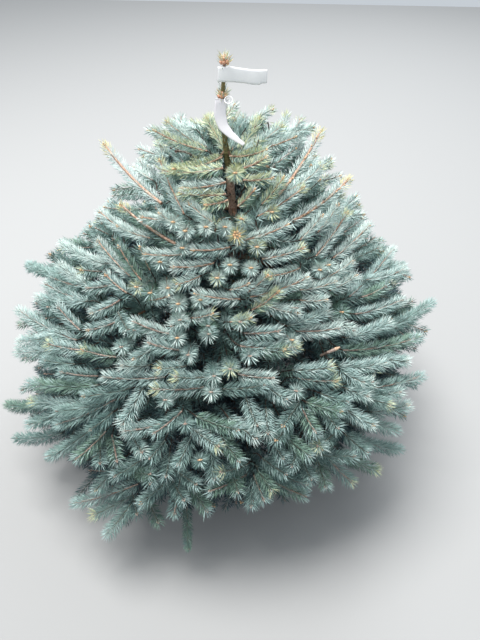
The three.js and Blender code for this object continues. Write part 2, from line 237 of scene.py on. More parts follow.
def grow_limb_axis(path, t, k):
    """One leading limb with its years of growth: whorls of side shoots at each year's node, small shoots between."""
    tier, habit = TIERS[t], HABIT[TIERS[t]["name"]]
    name = tier["name"]
    total = length_of(path)
    path = resample(path, 61)
    AXES.append(path[:46:2])
    size = habit["length"]
    rnd = lambda a, b: float(RNG.uniform(a, b))
    # this year's leading shoot: a bare brush with no side shoots on it
    lead = min(rnd(108, 138), 0.45 * total)
    marks = [lead]
    while marks[-1] + 70 < total:
        marks.append(marks[-1] + rnd(84, 108))
    marks = [m for m in marks if m < total - 12]
    at = lambda d: 1 - d / total
    cut = int(round(at(lead) * 60))
    shoot(resample(path[cut:], 10), name, 2.9, 2.0, order=1, warm=habit["warm"] + 0.15)
    prev = cut
    for i, m in enumerate(marks):
        nxt = int(round(at(marks[i + 1]) * 60)) if i + 1 < len(marks) else 0
        seg = path[nxt:prev + 1]
        if i < 3 and len(seg) > 2:   # the older wood keeps its needles for a few years
            shoot(resample(seg, 9), name, 3.6 + 0.8 * i, 3.0 + 0.8 * i, order=2 + i, tip=False, needle=0.95, dense=(0.9, 0.6, 0.35)[i])
        prev = nxt
        p, tg, sd, up = frame_at(path, at(m))
        years = i + 1
        # whorl at the node
        rolls = [(1, rnd(-6, 22)), (-1, rnd(-6, 22)), ((-1) ** int(rnd(0, 2)), rnd(52, 80))]
        if i >= 1 or rnd(0, 1) < 0.35:
            rolls.append(((-1) ** int(rnd(0, 2)), rnd(-58, -30)))
        for sign, roll in rolls:
            flat = abs(roll) < 30
            angle = rnd(44, 60) if flat else rnd(36, 54)
            d = side_shoot(p, tg, sd, up, sign, angle, roll + habit["rise"])
            ln = size * rnd(0.85, 1.15) * (1.0 if flat else 0.78)
            if years == 1:
                pts = fit(p, d, ln, habit["curve"] + rnd(-0.08, 0.1), rnd(-0.15, 0.15), t, k)
                if pts is not None:
                    shoot(pts, name, 2.3, 1.7, order=2)
            elif years <= 3:
                # an older side limb: last year's length, then its own leading shoot and a pair beside it
                seg1 = ln * rnd(0.62, 0.8)
                a = fit(p, d, seg1, habit["curve"] * 0.6, rnd(-0.1, 0.1), t, k)
                if a is None:
                    continue
                shoot(a, name, 2.9, 2.4, order=3, tip=False, dense=0.75)
                e, tg2, sd2, up2 = frame_at(a, 1.0)
                b = fit(e, tg2 + 0.15 * tg, ln * rnd(0.8, 1.0), habit["curve"] + rnd(-0.05, 0.1), rnd(-0.2, 0.2), t, k)
                if b is not None:
                    shoot(b, name, 2.2, 1.6, order=2)
                for sg in (1, -1):
                    if rnd(0, 1) < 0.78:
                        d2 = side_shoot(e, tg2, sd2, up2, sg, rnd(42, 58), rnd(-12, 34) + 0.5 * habit["rise"])
                        c = fit(e, d2, ln * rnd(0.55, 0.75), habit["curve"], rnd(-0.1, 0.1), t, k)
                        if c is not None:
                            shoot(c, name, 2.0, 1.5, order=2)
        # small shoots between the nodes
        gap = marks[i + 1] - m if i + 1 < len(marks) else 60
        count = 3 if i < 2 else 2
        for j in range(count):
            dd = m + gap * (j + 0.7 + rnd(-0.15, 0.15)) / (count + 0.4)
            if dd > total - 20:
                continue
            p2, tg2, sd2, up2 = frame_at(path, at(dd))
            sg = 1 if (i + j) % 2 else -1
            roll = (12, 48, -34)[j % 3] + rnd(-10, 10) + habit["rise"]
            d3 = side_shoot(p2, tg2, sd2, up2, sg, rnd(46, 66), roll)
            c = fit(p2, d3, size * rnd(0.58, 0.85), habit["curve"], rnd(-0.15, 0.15), t, k)
            if c is not None:
                shoot(c, name, 2.0, 1.5, order=2 if i < 2 else 3)


def grow_fan(t, k):
    tier = TIERS[t]
    step = 2 * math.pi / tier["boughs"]
    mid = math.radians(tier["turn"]) + k * step
    cx, cy = trunk_centre(tier["z"])
    F = tier["fingers"]
    z_rim = sum(slab(t, float(table(PROFILE, tier["z"])))) / 2

    def azimuth(w, r):
        a0, a1 = parting(t, k - 1, r), parting(t, k, r)
        return a0 + (a1 - a0) * w

    def place(a, r, z):
        return np.array([cx + r * math.cos(a), cy + r * math.sin(a), z])

    def height(h, r):
        lo, hi = slab(t, r)
        return lo + (hi - lo) * h

    fingers = []
    for f in range(F):
        w, u = (2 * f + 1) / (2 * F), 2 * f + 1
        guess = mid + (w - 0.5) * step
        outer = float(crown_radius(tier, z_rim, guess)) * (1 - 0.030 * (1 + wobble(10 * t + k, u)))
        h = 0.5 + 0.425 * wobble(5 * t + k, 3 * u)
        fingers.append((abs(w - 0.5), w, outer - 9, h))
    fingers.sort(key=lambda x: x[0])
    main = fingers[0]
    inner = tier["inner"]
    zi = height(tier["enter"], inner)
    start = trunk_radius(tier["z"] - 10) * 0.6

    def main_at(r):
        outer = main[2]
        if r <= inner:
            s = max(0.0, (r - start) / (inner - start))
            return mid, tier["z"] + (zi - tier["z"]) * math.sin(s * math.pi / 2)
        q = smooth((r - inner) / (0.55 * (outer - inner)))
        a = mid * (1 - q) + azimuth(main[1], r) * q
        z = height(tier["enter"] * (1 - q) + main[3] * q, r)
        return a, z

    rs = np.linspace(start, main[2], 90)
    main_path = np.array([place(*(lambda az: (az[0], r, az[1]))(main_at(r))) for r in rs])
    r_base = 0.50 * trunk_radius(tier["z"] + 20)
    r_end = 0.36 * trunk_radius(tier["z"] + 20) + 0.4
    # the woody limb: as the CAD's bough to its end, then thinning on to the last year's node
    woody = int(90 * 0.80)
    LIMBS.append(dict(pts=main_path[:woody], r0=r_base, r1=2.6, tier=t, k=k, main=True, knee=(inner - start) / (rs[woody - 1] - start), rk=r_end))
    spur = int(90 * (inner - start) / (main[2] - start) * 0.98)
    grow_limb_axis(main_path[max(spur - 4, 6):], t, k)
    for i, (_, w, outer, h) in enumerate(fingers[1:]):
        share = (0.16, 0.20, 0.03, 0.05)[i] if F == 5 else (0.14, 0.03, 0.06)[min(i, 2)]
        rf = inner + (main[2] - inner) * share
        path = []
        for r in np.linspace(rf, outer, 70):
            a, z = main_at(min(r, main[2]))
            q = smooth((r - rf) / (0.62 * (outer - rf)))
            path.append(place(a * (1 - q) + azimuth(w, r) * q, r, z * (1 - q) + height(h, r) * q))
        path = np.array(path)
        LIMBS.append(dict(pts=path[:54], r0=r_end * 0.85, r1=2.5, tier=t, k=k, main=False))
        grow_limb_axis(path[2:], t, k)


for _t, _tier in enumerate(TIERS):
    for _k in range(_tier["boughs"]):
        grow_fan(_t, _k)


def grow_from_trunk():
    """Short limbs straight from the trunk, between the whorls."""
    z, a = 335.0, 0.4
    while z < 815:
        a += GOLDEN + float(RNG.uniform(-0.25, 0.25))
        t = min(tier_at(z + 10), 4)
        name = TIERS[t]["name"]
        c = trunk_centre(z)
        reach = float(envelope(z + 20, a))
        ln = min(float(RNG.uniform(0.40, 0.60)) * reach, 270)
        d = np.array([math.cos(a), math.sin(a), float(RNG.uniform(0.15, 0.45)) + 0.2 * (z > 600)])
        base = np.array([c[0], c[1], z]) + unit(d) * trunk_radius(z) * 0.8
        pts = bend(base, d, ln, 0.1, float(RNG.uniform(-0.2, 0.2)), 12)
        LIMBS.append(dict(pts=pts, r0=3.0, r1=2.0, tier=t, k=0, main=False))
        AXES.append(pts)
        n = len(pts)
        shoot(pts[n // 4:], name, 2.8, 2.0, order=2, dense=0.85)
        for j, (f, sg) in enumerate([(0.36, 1), (0.44, -1), (0.56, 1), (0.64, -1), (0.78, 1), (0.84, -1)]):
            q, tg, sd, up = frame_at(pts, f)
            d2 = side_shoot(q, tg, sd, up, sg, float(RNG.uniform(42, 60)), float(RNG.uniform(-25, 45)))
            shoot(bend(q, d2, float(RNG.uniform(60, 95)), 0.15), name, 2.0, 1.5, order=2)
        z += float(RNG.uniform(10, 16))


grow_from_trunk()


# ------------------------------------------------------------------ shoots that show plainly in the photograph
def within(p, f):
    c = [float(v) for v in trunk_centre(p[2])]
    x, y = p[0] - c[0], p[1] - c[1]
    r, a = math.hypot(x, y), math.atan2(y, x)
    return r - f * float(envelope(p[2], a)), p[2] - (846 + 0.33 * r - 160 * (1 - f))


def on_crown(px, py, f):
    """Where the line of sight through a pixel first meets the crown's outline, scaled by f."""
    d = ray(px, py)
    best, at = 1e9, None
    for t in np.arange(700, 2100, 5.0):
        p = CAM + d * t
        if p[2] < 55:
            break
        e, top = within(p, f)
        miss = max(e, top)
        if miss < 0:
            return p
        if miss < best:
            best, at = miss, p
    return at


# sideways shoots: base and tip in the photograph, and options
# look: a thick orange twig under thin needles; line: the twig shows (1) or not (0); needle: length of needles
SIDEWAYS = [
    # leader's foot and highest whorl
    (207, 151, 155, 131, dict(line=1)), (206, 147, 167, 122, dict(line=0)), (222, 157, 174, 169, dict(line=1)), (223, 168, 163, 171, {}),
    (226, 182, 183, 188, dict(line=1)), (226, 194, 181, 193, dict(line=1)), (228, 200, 206, 205, {}), (184, 214, 160, 161, dict(line=1)),
    (228, 152, 207, 118, dict(f=(0.93, 1.0), line=0)), (232, 150, 243, 117, dict(f=(0.93, 1.0), line=0)), (240, 150, 259, 118, dict(f=(0.93, 1.0), line=0)),
    (245, 151, 281, 126, dict(f=(0.93, 1.0), line=0)), (244, 151, 295, 137, dict(line=1)), (230, 156, 266, 150, dict(line=1)), (244, 168, 266, 157, {}),
    (243, 180, 272, 178, dict(line=1)), (278, 196, 321, 131, dict(look=1)), (293, 221, 349, 179, dict(look=1)), (258, 216, 303, 188, {}),
    (290, 190, 322, 166, dict(line=0)), (262, 204, 283, 178, dict(line=0)), (238, 206, 254, 190, dict(line=1, needle=0.8)),
    (170, 212, 104, 144, dict(look=1)), (176, 244, 121, 205, dict(look=1)), (168, 219, 142, 217, dict(line=1)), (130, 232, 100, 212, {}),
    (150, 238, 118, 226, dict(line=0)), (182, 228, 160, 214, dict(line=0)), (212, 222, 190, 204, dict(line=0)),
    # left
    (108, 264, 62, 244, {}), (130, 276, 98, 241, dict(line=1)), (141, 280, 119, 247, dict(line=1)), (62, 273, 29, 264, {}),
    (86, 284, 60, 265, {}), (82, 286, 51, 277, {}), (114, 284, 87, 288, dict(line=1)), (127, 293, 106, 275, dict(line=1)),
    (80, 299, 46, 284, dict(line=1)), (120, 300, 92, 313, dict(line=1)), (88, 301, 38, 297, {}), (80, 330, 58, 307, dict(line=1)),
    (86, 345, 19, 310, dict(line=1)), (62, 332, 20, 342, {}), (64, 346, 18, 352, dict(line=0)), (84, 350, 49, 344, dict(line=1)),
    (116, 322, 88, 330, dict(line=1)), (116, 357, 83, 350, {}), (98, 376, 61, 372, dict(line=1)), (165, 377, 104, 377, dict(line=1)),
    (170, 334, 134, 322, dict(line=1)), (158, 345, 134, 359, {}), (180, 350, 149, 343, dict(line=1)), (98, 385, 30, 383, dict(line=0)),
    (130, 388, 84, 396, dict(line=0)), (204, 387, 154, 389, dict(line=1)), (206, 377, 176, 377, dict(line=0)), (182, 254, 145, 254, {}),
    (150, 270, 140, 248, dict(line=0)), (118, 312, 128, 330, dict(line=0)), (75, 364, 45, 360, dict(line=0)), (150, 365, 122, 366, dict(line=0)),
    # middle
    (230, 247, 193, 250, dict(line=1)), (214, 263, 173, 267, dict(line=1)), (244, 240, 287, 225, dict(line=1)), (262, 259, 303, 248, dict(line=1)),
    (240, 299, 196, 294, dict(line=1)), (250, 297, 307, 278, dict(line=1)), (252, 310, 278, 292, dict(line=1)), (248, 292, 267, 276, dict(line=0)),
    (244, 333, 279, 331, dict(line=1)), (240, 346, 297, 347, {}), (287, 326, 328, 311, {}), (296, 331, 339, 328, dict(line=1)),
    (238, 374, 273, 378, dict(line=1)), (223, 389, 264, 385, {}), (262, 383, 286, 399, dict(line=0)), (292, 370, 331, 367, dict(line=0)),
    (298, 378, 336, 381, dict(line=1)), (300, 268, 270, 276, dict(line=0)), (262, 304, 298, 313, dict(line=0)), (200, 276, 178, 284, dict(line=0)),
    (190, 318, 172, 326, dict(line=0)), (300, 290, 335, 282, dict(line=0)), (186, 366, 160, 368, dict(line=0)), (300, 300, 326, 300, dict(line=0)),
    # right
    (316, 256, 347, 213, dict(line=1)), (333, 258, 369, 225, dict(line=1)), (346, 300, 393, 249, dict(line=1)), (366, 280, 404, 269, dict(line=1)),
    (362, 297, 386, 286, {}), (355, 314, 402, 300, {}), (373, 334, 432, 302, {}), (345, 338, 389, 322, dict(line=0)),
    (339, 351, 419, 337, {}), (338, 366, 385, 363, dict(line=0)), (340, 370, 363, 382, {}), (378, 357, 407, 361, dict(line=0)),
    (361, 389, 422, 376, {}), (360, 392, 389, 405, dict(line=0)), (320, 280, 352, 262, dict(line=0)), (300, 240, 322, 216, dict(line=0)),
    (318, 232, 338, 205, dict(line=0)), (330, 290, 356, 276, dict(line=0)), (330, 318, 354, 330, dict(line=0)),
    # lower left
    (80, 396, 8, 404, dict(line=0)), (80, 402, 32, 401, dict(line=0)), (104, 402, 57, 411, dict(line=0)), (116, 399, 57, 424, dict(line=1)),
    (72, 408, 29, 424, dict(line=0)), (113, 412, 90, 430, dict(line=0)), (62, 433, 17, 438, {}), (90, 430, 50, 456, dict(line=0)),
    (106, 431, 76, 459, {}), (143, 388, 122, 424, dict(line=0)), (112, 435, 117, 461, {}), (160, 424, 125, 431, dict(line=1)),
    (182, 411, 154, 433, dict(line=1)), (130, 432, 142, 452, dict(line=0)), (196, 416, 238, 430, dict(line=0)), (192, 428, 218, 446, dict(line=0)),
    (191, 437, 178, 465, dict(line=0)), (210, 442, 214, 479, {}), (221, 436, 239, 461, dict(line=0)), (146, 456, 115, 476, dict(line=0)),
    (152, 455, 150, 483, {}), (138, 484, 74, 503, {}), (132, 495, 93, 515, {}), (130, 505, 107, 534, dict(line=0)),
    (170, 478, 141, 503, dict(line=0)), (180, 478, 174, 514, dict(line=1)), (133, 495, 137, 514, dict(line=0)), (148, 500, 158, 522, dict(line=0)),
    (190, 484, 207, 511, dict(line=0)), (246, 475, 210, 491, {}), (187, 508, 188, 549, dict(line=0, needle=0.62)), (165, 440, 150, 458, dict(line=0)),
    (112, 470, 96, 490, dict(line=0)), (128, 470, 150, 474, dict(line=0)), (170, 452, 166, 476, dict(line=0)), (100, 440, 100, 463, dict(line=0)),
    # lower right
    (228, 417, 256, 438, dict(line=0)), (246, 398, 257, 425, dict(line=0)), (266, 408, 268, 433, dict(line=0)), (299, 402, 283, 426, dict(line=0)),
    (302, 408, 315, 432, dict(line=1)), (306, 402, 341, 411, dict(line=0)), (325, 412, 338, 428, dict(line=0)), (320, 393, 347, 402, dict(line=0)),
    (342, 406, 373, 425, dict(line=0)), (353, 415, 397, 430, dict(line=0)), (370, 412, 408, 405, dict(line=0)), (350, 436, 400, 449, dict(line=0)),
    (345, 434, 367, 452, dict(line=0)), (340, 452, 377, 470, dict(line=0)), (312, 454, 354, 456, dict(line=0)), (330, 460, 352, 482, dict(line=1)),
    (318, 460, 326, 487, dict(line=0)), (279, 430, 310, 456, dict(line=0)), (269, 436, 283, 458, dict(line=0)), (256, 466, 307, 484, dict(line=0)),
    (268, 478, 305, 496, dict(line=1)), (254, 475, 264, 500, dict(line=1)), (252, 480, 251, 506, dict(line=0)), (306, 428, 322, 449, dict(line=0)),
    (302, 460, 311, 479, dict(line=0)), (248, 464, 221, 472, dict(line=0)), (290, 424, 276, 440, dict(line=0)), (300, 440, 292, 466, dict(line=0)),
    (336, 432, 318, 446, dict(line=0)), (232, 470, 238, 492, dict(line=0)), (375, 395, 400, 392, dict(line=0)),
    (230, 322, 250, 318, dict(line=0)), (192, 318, 212, 314, dict(line=0)), (176, 470, 196, 484, dict(line=0)), (262, 458, 286, 474, dict(line=0)),
    (345, 388, 368, 396, dict(line=0)), (262, 352, 284, 350, dict(line=0)), (230, 290, 248, 284, dict(line=0)),
    (150, 300, 168, 296, dict(line=0)), (172, 480, 184, 500, dict(line=0)), (258, 470, 272, 490, dict(line=0)), (350, 384, 372, 382, dict(line=0)),
]
# rosettes: shoots seen end on
ROSETTES = [
    (235, 173, 1.15), (185, 231, 1.05), (206, 227, 1), (225, 227, 0.85), (237, 235, 1.5), (182, 248, 0.95), (257, 247, 1), (230, 265, 1),
    (251, 268, 1), (217, 278, 0.95), (329, 265, 1), (136, 287, 1.05), (150, 293, 1), (168, 288, 1), (178, 304, 1.05), (208, 326, 0.95), (209, 334, 1),
    (121, 347, 1), (250, 356, 0.9), (230, 369, 1.05), (211, 392, 1.05), (185, 424, 1), (160, 262, 0.95), (48, 307, 0.95), (134, 330, 0.85),
    (188, 355, 0.95), (177, 338, 0.9), (180, 320, 0.85), (240, 322, 1), (292, 340, 0.95), (214, 376, 0.9), (296, 391, 0.9), (342, 312, 1),
    (173, 222, 0.9), (272, 212, 0.9), (165, 400, 0.9), (200, 300, 0.85), (320, 270, 0.85), (200, 460, 0.85),
]


def connect(base, direction, tier):
    """A twig from the nearest limb out to the base of a shoot."""
    best, pick = 1e9, None
    rb = math.hypot(base[0], base[1])
    for path in AXES:
        dv = base - path
        dist = np.linalg.norm(dv, axis=1)
        turn = 1 - (dv @ direction) / np.maximum(dist, 1e-6)
        out = np.hypot(path[:, 0], path[:, 1]) > rb + 15
        cost = dist + 30 * turn + 400 * out
        i = int(np.argmin(cost))
        if cost[i] < best:
            best, pick = cost[i], (path, i)
    path, i = pick
    q = path[i]
    gap = np.linalg.norm(base - q)
    if gap < 6:
        return
    tq = unit(path[min(i + 1, len(path) - 1)] - path[max(i - 1, 0)])
    m0, m1 = unit(tq + unit(base - q)) * gap, direction * gap
    s = np.linspace(0, 1, 10)[:, None]
    pts = (2 * s**3 - 3 * s**2 + 1) * q + (s**3 - 2 * s**2 + s) * m0 + (-2 * s**3 + 3 * s**2) * base + (s**3 - s**2) * m1
    mid = (pts[4] + pts[5]) / 2
    deeper = unit(0.6 * unit(mid - CAM) + 0.5 * unit(np.array([-35.0, 0, mid[2] - 40]) - mid))
    pts = pts + deeper * min(34.0, 0.32 * gap) * np.sin(math.pi * s)
    shoot(pts, tier, 3.0, 2.6, order=3, tip=False, dense=1.0, fixed=False)


HEROES = []
for bx, by, tx, ty, opt in SIDEWAYS:
    f0, f1 = opt.get("f", (0.90, 0.985))
    a, b = on_crown(bx, by, f0), on_crown(tx, ty, f1)
    run = np.linalg.norm(b - a)
    if run > 230:      # the two ends lie on different sides of a step in the outline
        a = b + unit(a - b) * 230
    name = TIERS[tier_at(b[2])]["name"]
    s = np.linspace(0, 1, 10)[:, None]
    pts = a + (b - a) * s - UP * 0.05 * run * (4 * s * (1 - s))
    look = opt.get("look", 0)
    h = shoot(pts, name, 3.6 if look else 2.5, 2.6 if look else 1.9, order=1, fixed=True, dense=1.0 if look else 1.6, needle=opt.get("needle", 1.0) * (0.96 if look else 1.0) * (1.16 if by > 330 else 1.05 if by > 250 else 1.0))
    h["look"] = look
    h["line"] = opt.get("line")
    HEROES.append(h)
    connect(pts[0], unit(pts[1] - pts[0]), name)
for px, py, size in ROSETTES:
    tip = on_crown(px, py, 0.985)
    c = trunk_centre(tip[2])
    out = unit(np.array([tip[0] - c[0], tip[1] - c[1], 0]))
    d = unit(0.80 * unit(CAM - tip) + 0.35 * out + RNG.normal(0, 0.10, 3))
    name = TIERS[tier_at(tip[2])]["name"]
    ln = 78 * size
    pts = tip - d * ln * (1 - np.linspace(0, 1, 9))[:, None] - UP * 0.05 * ln * (4 * np.linspace(0, 1, 9) * (1 - np.linspace(0, 1, 9)))[:, None]
    h = shoot(pts, name, 2.4, 1.9, order=1, fixed=True, needle=(1.0 + 0.35 * (size - 1)) * (1.30 if py > 290 else 1.2), dense=1.7)
    h["splay"] = 60
    h["gold"] = size > 1.2
    HEROES.append(h)
    connect(pts[0], unit(pts[1] - pts[0]), name)

# the crown's outline in the photograph, for shoots of the branching rule
OUTLINE = np.array([
    (420, 338), (412, 362), (421, 377), (408, 407), (397, 428), (396, 449), (376, 470), (350, 482), (334, 488), (308, 497), (285, 500),
    (255, 505), (235, 500), (212, 512), (196, 516), (176, 512), (156, 522), (134, 523), (107, 534), (92, 517), (72, 503), (88, 488), (112, 474),
    (96, 456), (72, 448), (49, 456), (16, 438), (26, 424), (6, 403), (26, 383), (30, 366), (13, 346), (15, 308), (35, 290), (30, 265), (63, 244),
    (85, 240), (98, 213), (121, 204), (140, 208), (157, 205), (160, 185), (156, 166), (163, 152), (154, 138), (156, 128), (168, 121), (180, 124),
    (205, 113), (230, 116), (252, 112), (280, 124), (296, 136), (318, 132), (314, 150), (325, 164), (331, 174), (348, 178), (352, 190), (356, 202), (368, 221), (382, 246), (403, 268), (408, 286), (434, 300), (424, 320),
], float)


def outside_outline(xy, margin):
    """Which points lie outside the outline by more than the margin; a negative margin asks for points well inside."""
    x, y = xy[:, 0], xy[:, 1]
    inside_ = np.zeros(len(xy), bool)
    near = np.full(len(xy), 1e9)
    for (x0, y0), (x1, y1) in zip(OUTLINE, np.roll(OUTLINE, -1, 0)):
        cross = (y0 > y) != (y1 > y)
        if y1 != y0:
            inside_ ^= cross & (x < (x1 - x0) * (y - y0) / (y1 - y0) + x0)
        e = np.array([x1 - x0, y1 - y0])
        s = np.clip(((x - x0) * e[0] + (y - y0) * e[1]) / (e @ e), 0, 1)
        near = np.minimum(near, np.hypot(x - x0 - s * e[0], y - y0 - s * e[1]))
    return ~inside_ & (near > margin) if margin >= 0 else ~inside_ | (near < -margin)


# where the photo shows dark depth between the shoots: middle and half extent, in its pixels
DEEP = np.array([
    (188, 405, 60, 8), (214, 355, 36, 10), (155, 450, 25, 10), (250, 449, 17, 10), (110, 395, 18, 7), (396, 290, 12, 8), (134, 481, 9, 9),
    (280, 364, 16, 5), (307, 293, 14, 8), (112, 429, 7, 8), (312, 352, 10, 5), (105, 363, 9, 5), (265, 313, 12, 4), (295, 462, 7, 7),
    (142, 306, 9, 5), (271, 402, 7, 6), (227, 312, 12, 4), (197, 316, 8, 5), (194, 278, 9, 4),
], float)
hero_px = [project(h["pts"]) for h in HEROES]
stem_xy, stem_d = project(np.array([[*trunk_centre(float(z)), z] for z in np.arange(690, 960, 8)]))


def hides_stem(pts):
    """In front of the stem where the photo shows it, between the highest boughs."""
    xy, dp = project(pts)
    dist = np.hypot(xy[:, None, 0] - stem_xy[None, :, 0], xy[:, None, 1] - stem_xy[None, :, 1])
    return bool(((dist < 11) & (dp[:, None] < stem_d[None] - 2)).any())



def hides_hero(sh):
    xy, dp = project(sh["pts"][2:])
    for h, (hxy, hd) in zip(HEROES, hero_px):
        dist = np.hypot(xy[:, None, 0] - hxy[None, :, 0], xy[:, None, 1] - hxy[None, :, 1])
        i, j = np.unravel_index(np.argmin(dist), dist.shape)
        if dist[i, j] < (12 if sh["tier"] == "top" else 8) and dp[i] < hd[j] + 22:
            return True
    return False


kept = []
for sh in SHOOTS:
    if not sh["fixed"]:
        tip_px = project(sh["pts"][-1])[0]
        margin = -8.0 if sh["tier"] == "top" or tip_px[0, 1] < 206 else 4.0
        if outside_outline(tip_px, margin)[0]:
            if sh["tip"] and sh["order"] > 1:
                continue
            # a leading shoot is cut back to the outline
            xy = project(sh["pts"])[0]
            bad = outside_outline(xy, margin)
            n = int(np.argmax(bad)) if bad.any() else len(bad)
            if n < 3:
                continue
            sh["pts"] = resample(sh["pts"][:n], len(sh["pts"]))
        m = sh["pts"][len(sh["pts"]) // 2]
        (mx, my), = project(m)[0]
        if my < 215 and abs(mx - 224) < 24 and m[1] < 25 and sh["tip"]:
            continue
        if hides_stem(sh["pts"][3:]):
            continue
        if sh["tier"] == "top" and sh["order"] > 1 and sh["tip"] and RNG.random() < (0.7 if m[1] < 60 else 0.45):
            continue
        if sh["tip"] and sh["pts"][-1][1] < 60:
            xy = project(sh["pts"][3:])[0]
            q = (xy[:, None, :] - DEEP[None, :, :2]) / DEEP[None, :, 2:]
            p = sh["pts"][-3]
            c = trunk_centre(p[2])
            if ((q ** 2).sum(2) < 1).any() and envelope(p[2], math.atan2(p[1] - c[1], p[0] - c[0])) - math.hypot(p[0] - c[0], p[1] - c[1]) < 95:
                continue
        if sh["tip"] and sh["pts"][-1][1] < 120 and hides_hero(sh):
            sh["pts"] = resample(sh["pts"][:6], len(sh["pts"]))
            if length_of(sh["pts"]) < 30 or hides_hero(sh):
                continue
    kept.append(sh)
SHOOTS[:] = kept


def in_crown(P, f):
    """For arrays of points: inside the crown's outline scaled by f."""
    z = P[..., 2]
    x = P[..., 0] - table(LEAN, z)
    y = P[..., 1] - SWAY * np.sin(np.clip((z - SOIL_TOP) / (TREE_TOP - SOIL_TOP), 0, 1) * 2 * math.pi)
    r, a = np.hypot(x, y), np.arctan2(y, x)
    t = np.searchsorted(RIM_Z, z)
    reach = np.array([q["reach"] for q in TIERS])[t]
    bulge, toward = np.array([q["bulge"][0] for q in TIERS])[t], np.radians([q["bulge"][1] for q in TIERS])[t]
    env = reach * table(PROFILE, z) * (1 + bulge * np.cos(a - toward) + FLATTENING * np.cos(2 * a))
    return (r < f * env) & (z < 846 + 0.33 * r - 160 * (1 - f)) & (z > 275 - 0.37 * r) & (z > 75)


def close_gaps():
    """Adds shoots inside the crown wherever too few shoots cross a line of sight, from the photo's side and all round."""
    added = 0
    views = [None] + [(az, 12) for az in range(0, 360, 30)] + [(az, 38) for az in range(15, 375, 30)] + [(0, 84)]
    for view in views:
        P = np.concatenate([resample(q["pts"], 9) for q in SHOOTS])
        sid = np.repeat(np.arange(len(SHOOTS)), 9)
        if view is None:
            xy, d = project(P)
            uv, rad = xy / 5.0, FOCAL * 14 / d / 5.0
        else:
            a, e = math.radians(view[0]), math.radians(view[1])
            fwd = np.array([-math.sin(a) * math.cos(e), math.cos(a) * math.cos(e), -math.sin(e)])
            rt = unit(np.cross(fwd, UP))
            upv = np.cross(rt, fwd)
            uv, rad = np.stack([P @ rt, P @ upv], 1) / 11.0, np.full(len(P), 14 / 11.0)
        lo = np.floor(uv.min(0)) - 2
        size = (np.ceil(uv.max(0)) - lo + 4).astype(int)
        keys = []
        for i in (-1, 0, 1):
            for j in (-1, 0, 1):
                ok = math.hypot(i, j) <= rad + 0.2
                c = np.round(uv[ok] - lo).astype(int) + [i, j]
                keys.append((sid[ok] * size[0] + c[:, 0]) * size[1] + c[:, 1])
        key = np.unique(np.concatenate(keys))
        count = np.zeros(size, int)
        np.add.at(count, ((key // size[1]) % size[0], key % size[1]), 1)
        cells = np.argwhere(count < 4)
        g = cells + lo
        if view is None:
            dirs = unit((g[:, :1] * 5.0 - CX) / FOCAL * CAM_R - (g[:, 1:] * 5.0 - CY) / FOCAL * CAM_U + FWD)
            start, ts = np.repeat(CAM[None], len(g), 0), np.arange(700, 2100, 24.0)
        else:
            dirs = np.repeat(fwd[None], len(g), 0)
            start, ts = g[:, :1] * 11.0 * rt + g[:, 1:] * 11.0 * upv, np.arange(-1500, 900, 24.0)
        at = in_crown(start[:, None] + dirs[:, None] * ts[None, :, None], 0.80)
        thick = at.sum(1)
        pick = np.flatnonzero(thick >= 5)
        RNG.shuffle(pick)
        made = 0
        for n in pick:
            i, j = cells[n]
            if count[i, j] >= 4 or made >= 16:
                continue
            hit = start[n] + dirs[n] * (ts[int(np.argmax(at[n]))] + 30)
            if hit[2] > 735 and (hit[1] < 60 or view is None):
                continue
            cc = trunk_centre(hit[2])
            out = unit(np.array([hit[0] - cc[0], hit[1] - cc[1], 0.0]))
            d = unit(out + np.array([-out[1], out[0], 0]) * float(RNG.uniform(-1.1, 1.1)) + UP * float(RNG.uniform(-0.2, 0.5)))
            name = TIERS[tier_at(hit[2])]["name"]
            ln = float(RNG.uniform(80, 110))
            pts = bend(hit - d * ln * 0.6, d, ln, 0.1)
            if hides_stem(pts):
                continue
            shoot(pts, name, 2.3, 1.7, order=2)
            connect(pts[0], unit(pts[1] - pts[0]), name)
            made += 1
            count[max(i - 3, 0):i + 4, max(j - 3, 0):j + 4] += 1
        added += made
    print("shoots added in gaps", added)


close_gaps()

# nothing leans further to the front than the crown's own front
for sh in SHOOTS:
    q = sh["pts"]
    k = np.where(q[:, 1] < -590, (-590 - CAM[1] + 0.3 * (q[:, 1] + 590)) / (q[:, 1] - CAM[1]), 1.0)
    q = CAM + (q - CAM) * k[:, None]
    q[:, 2] = np.maximum(q[:, 2], 30)
    sh["pts"] = q


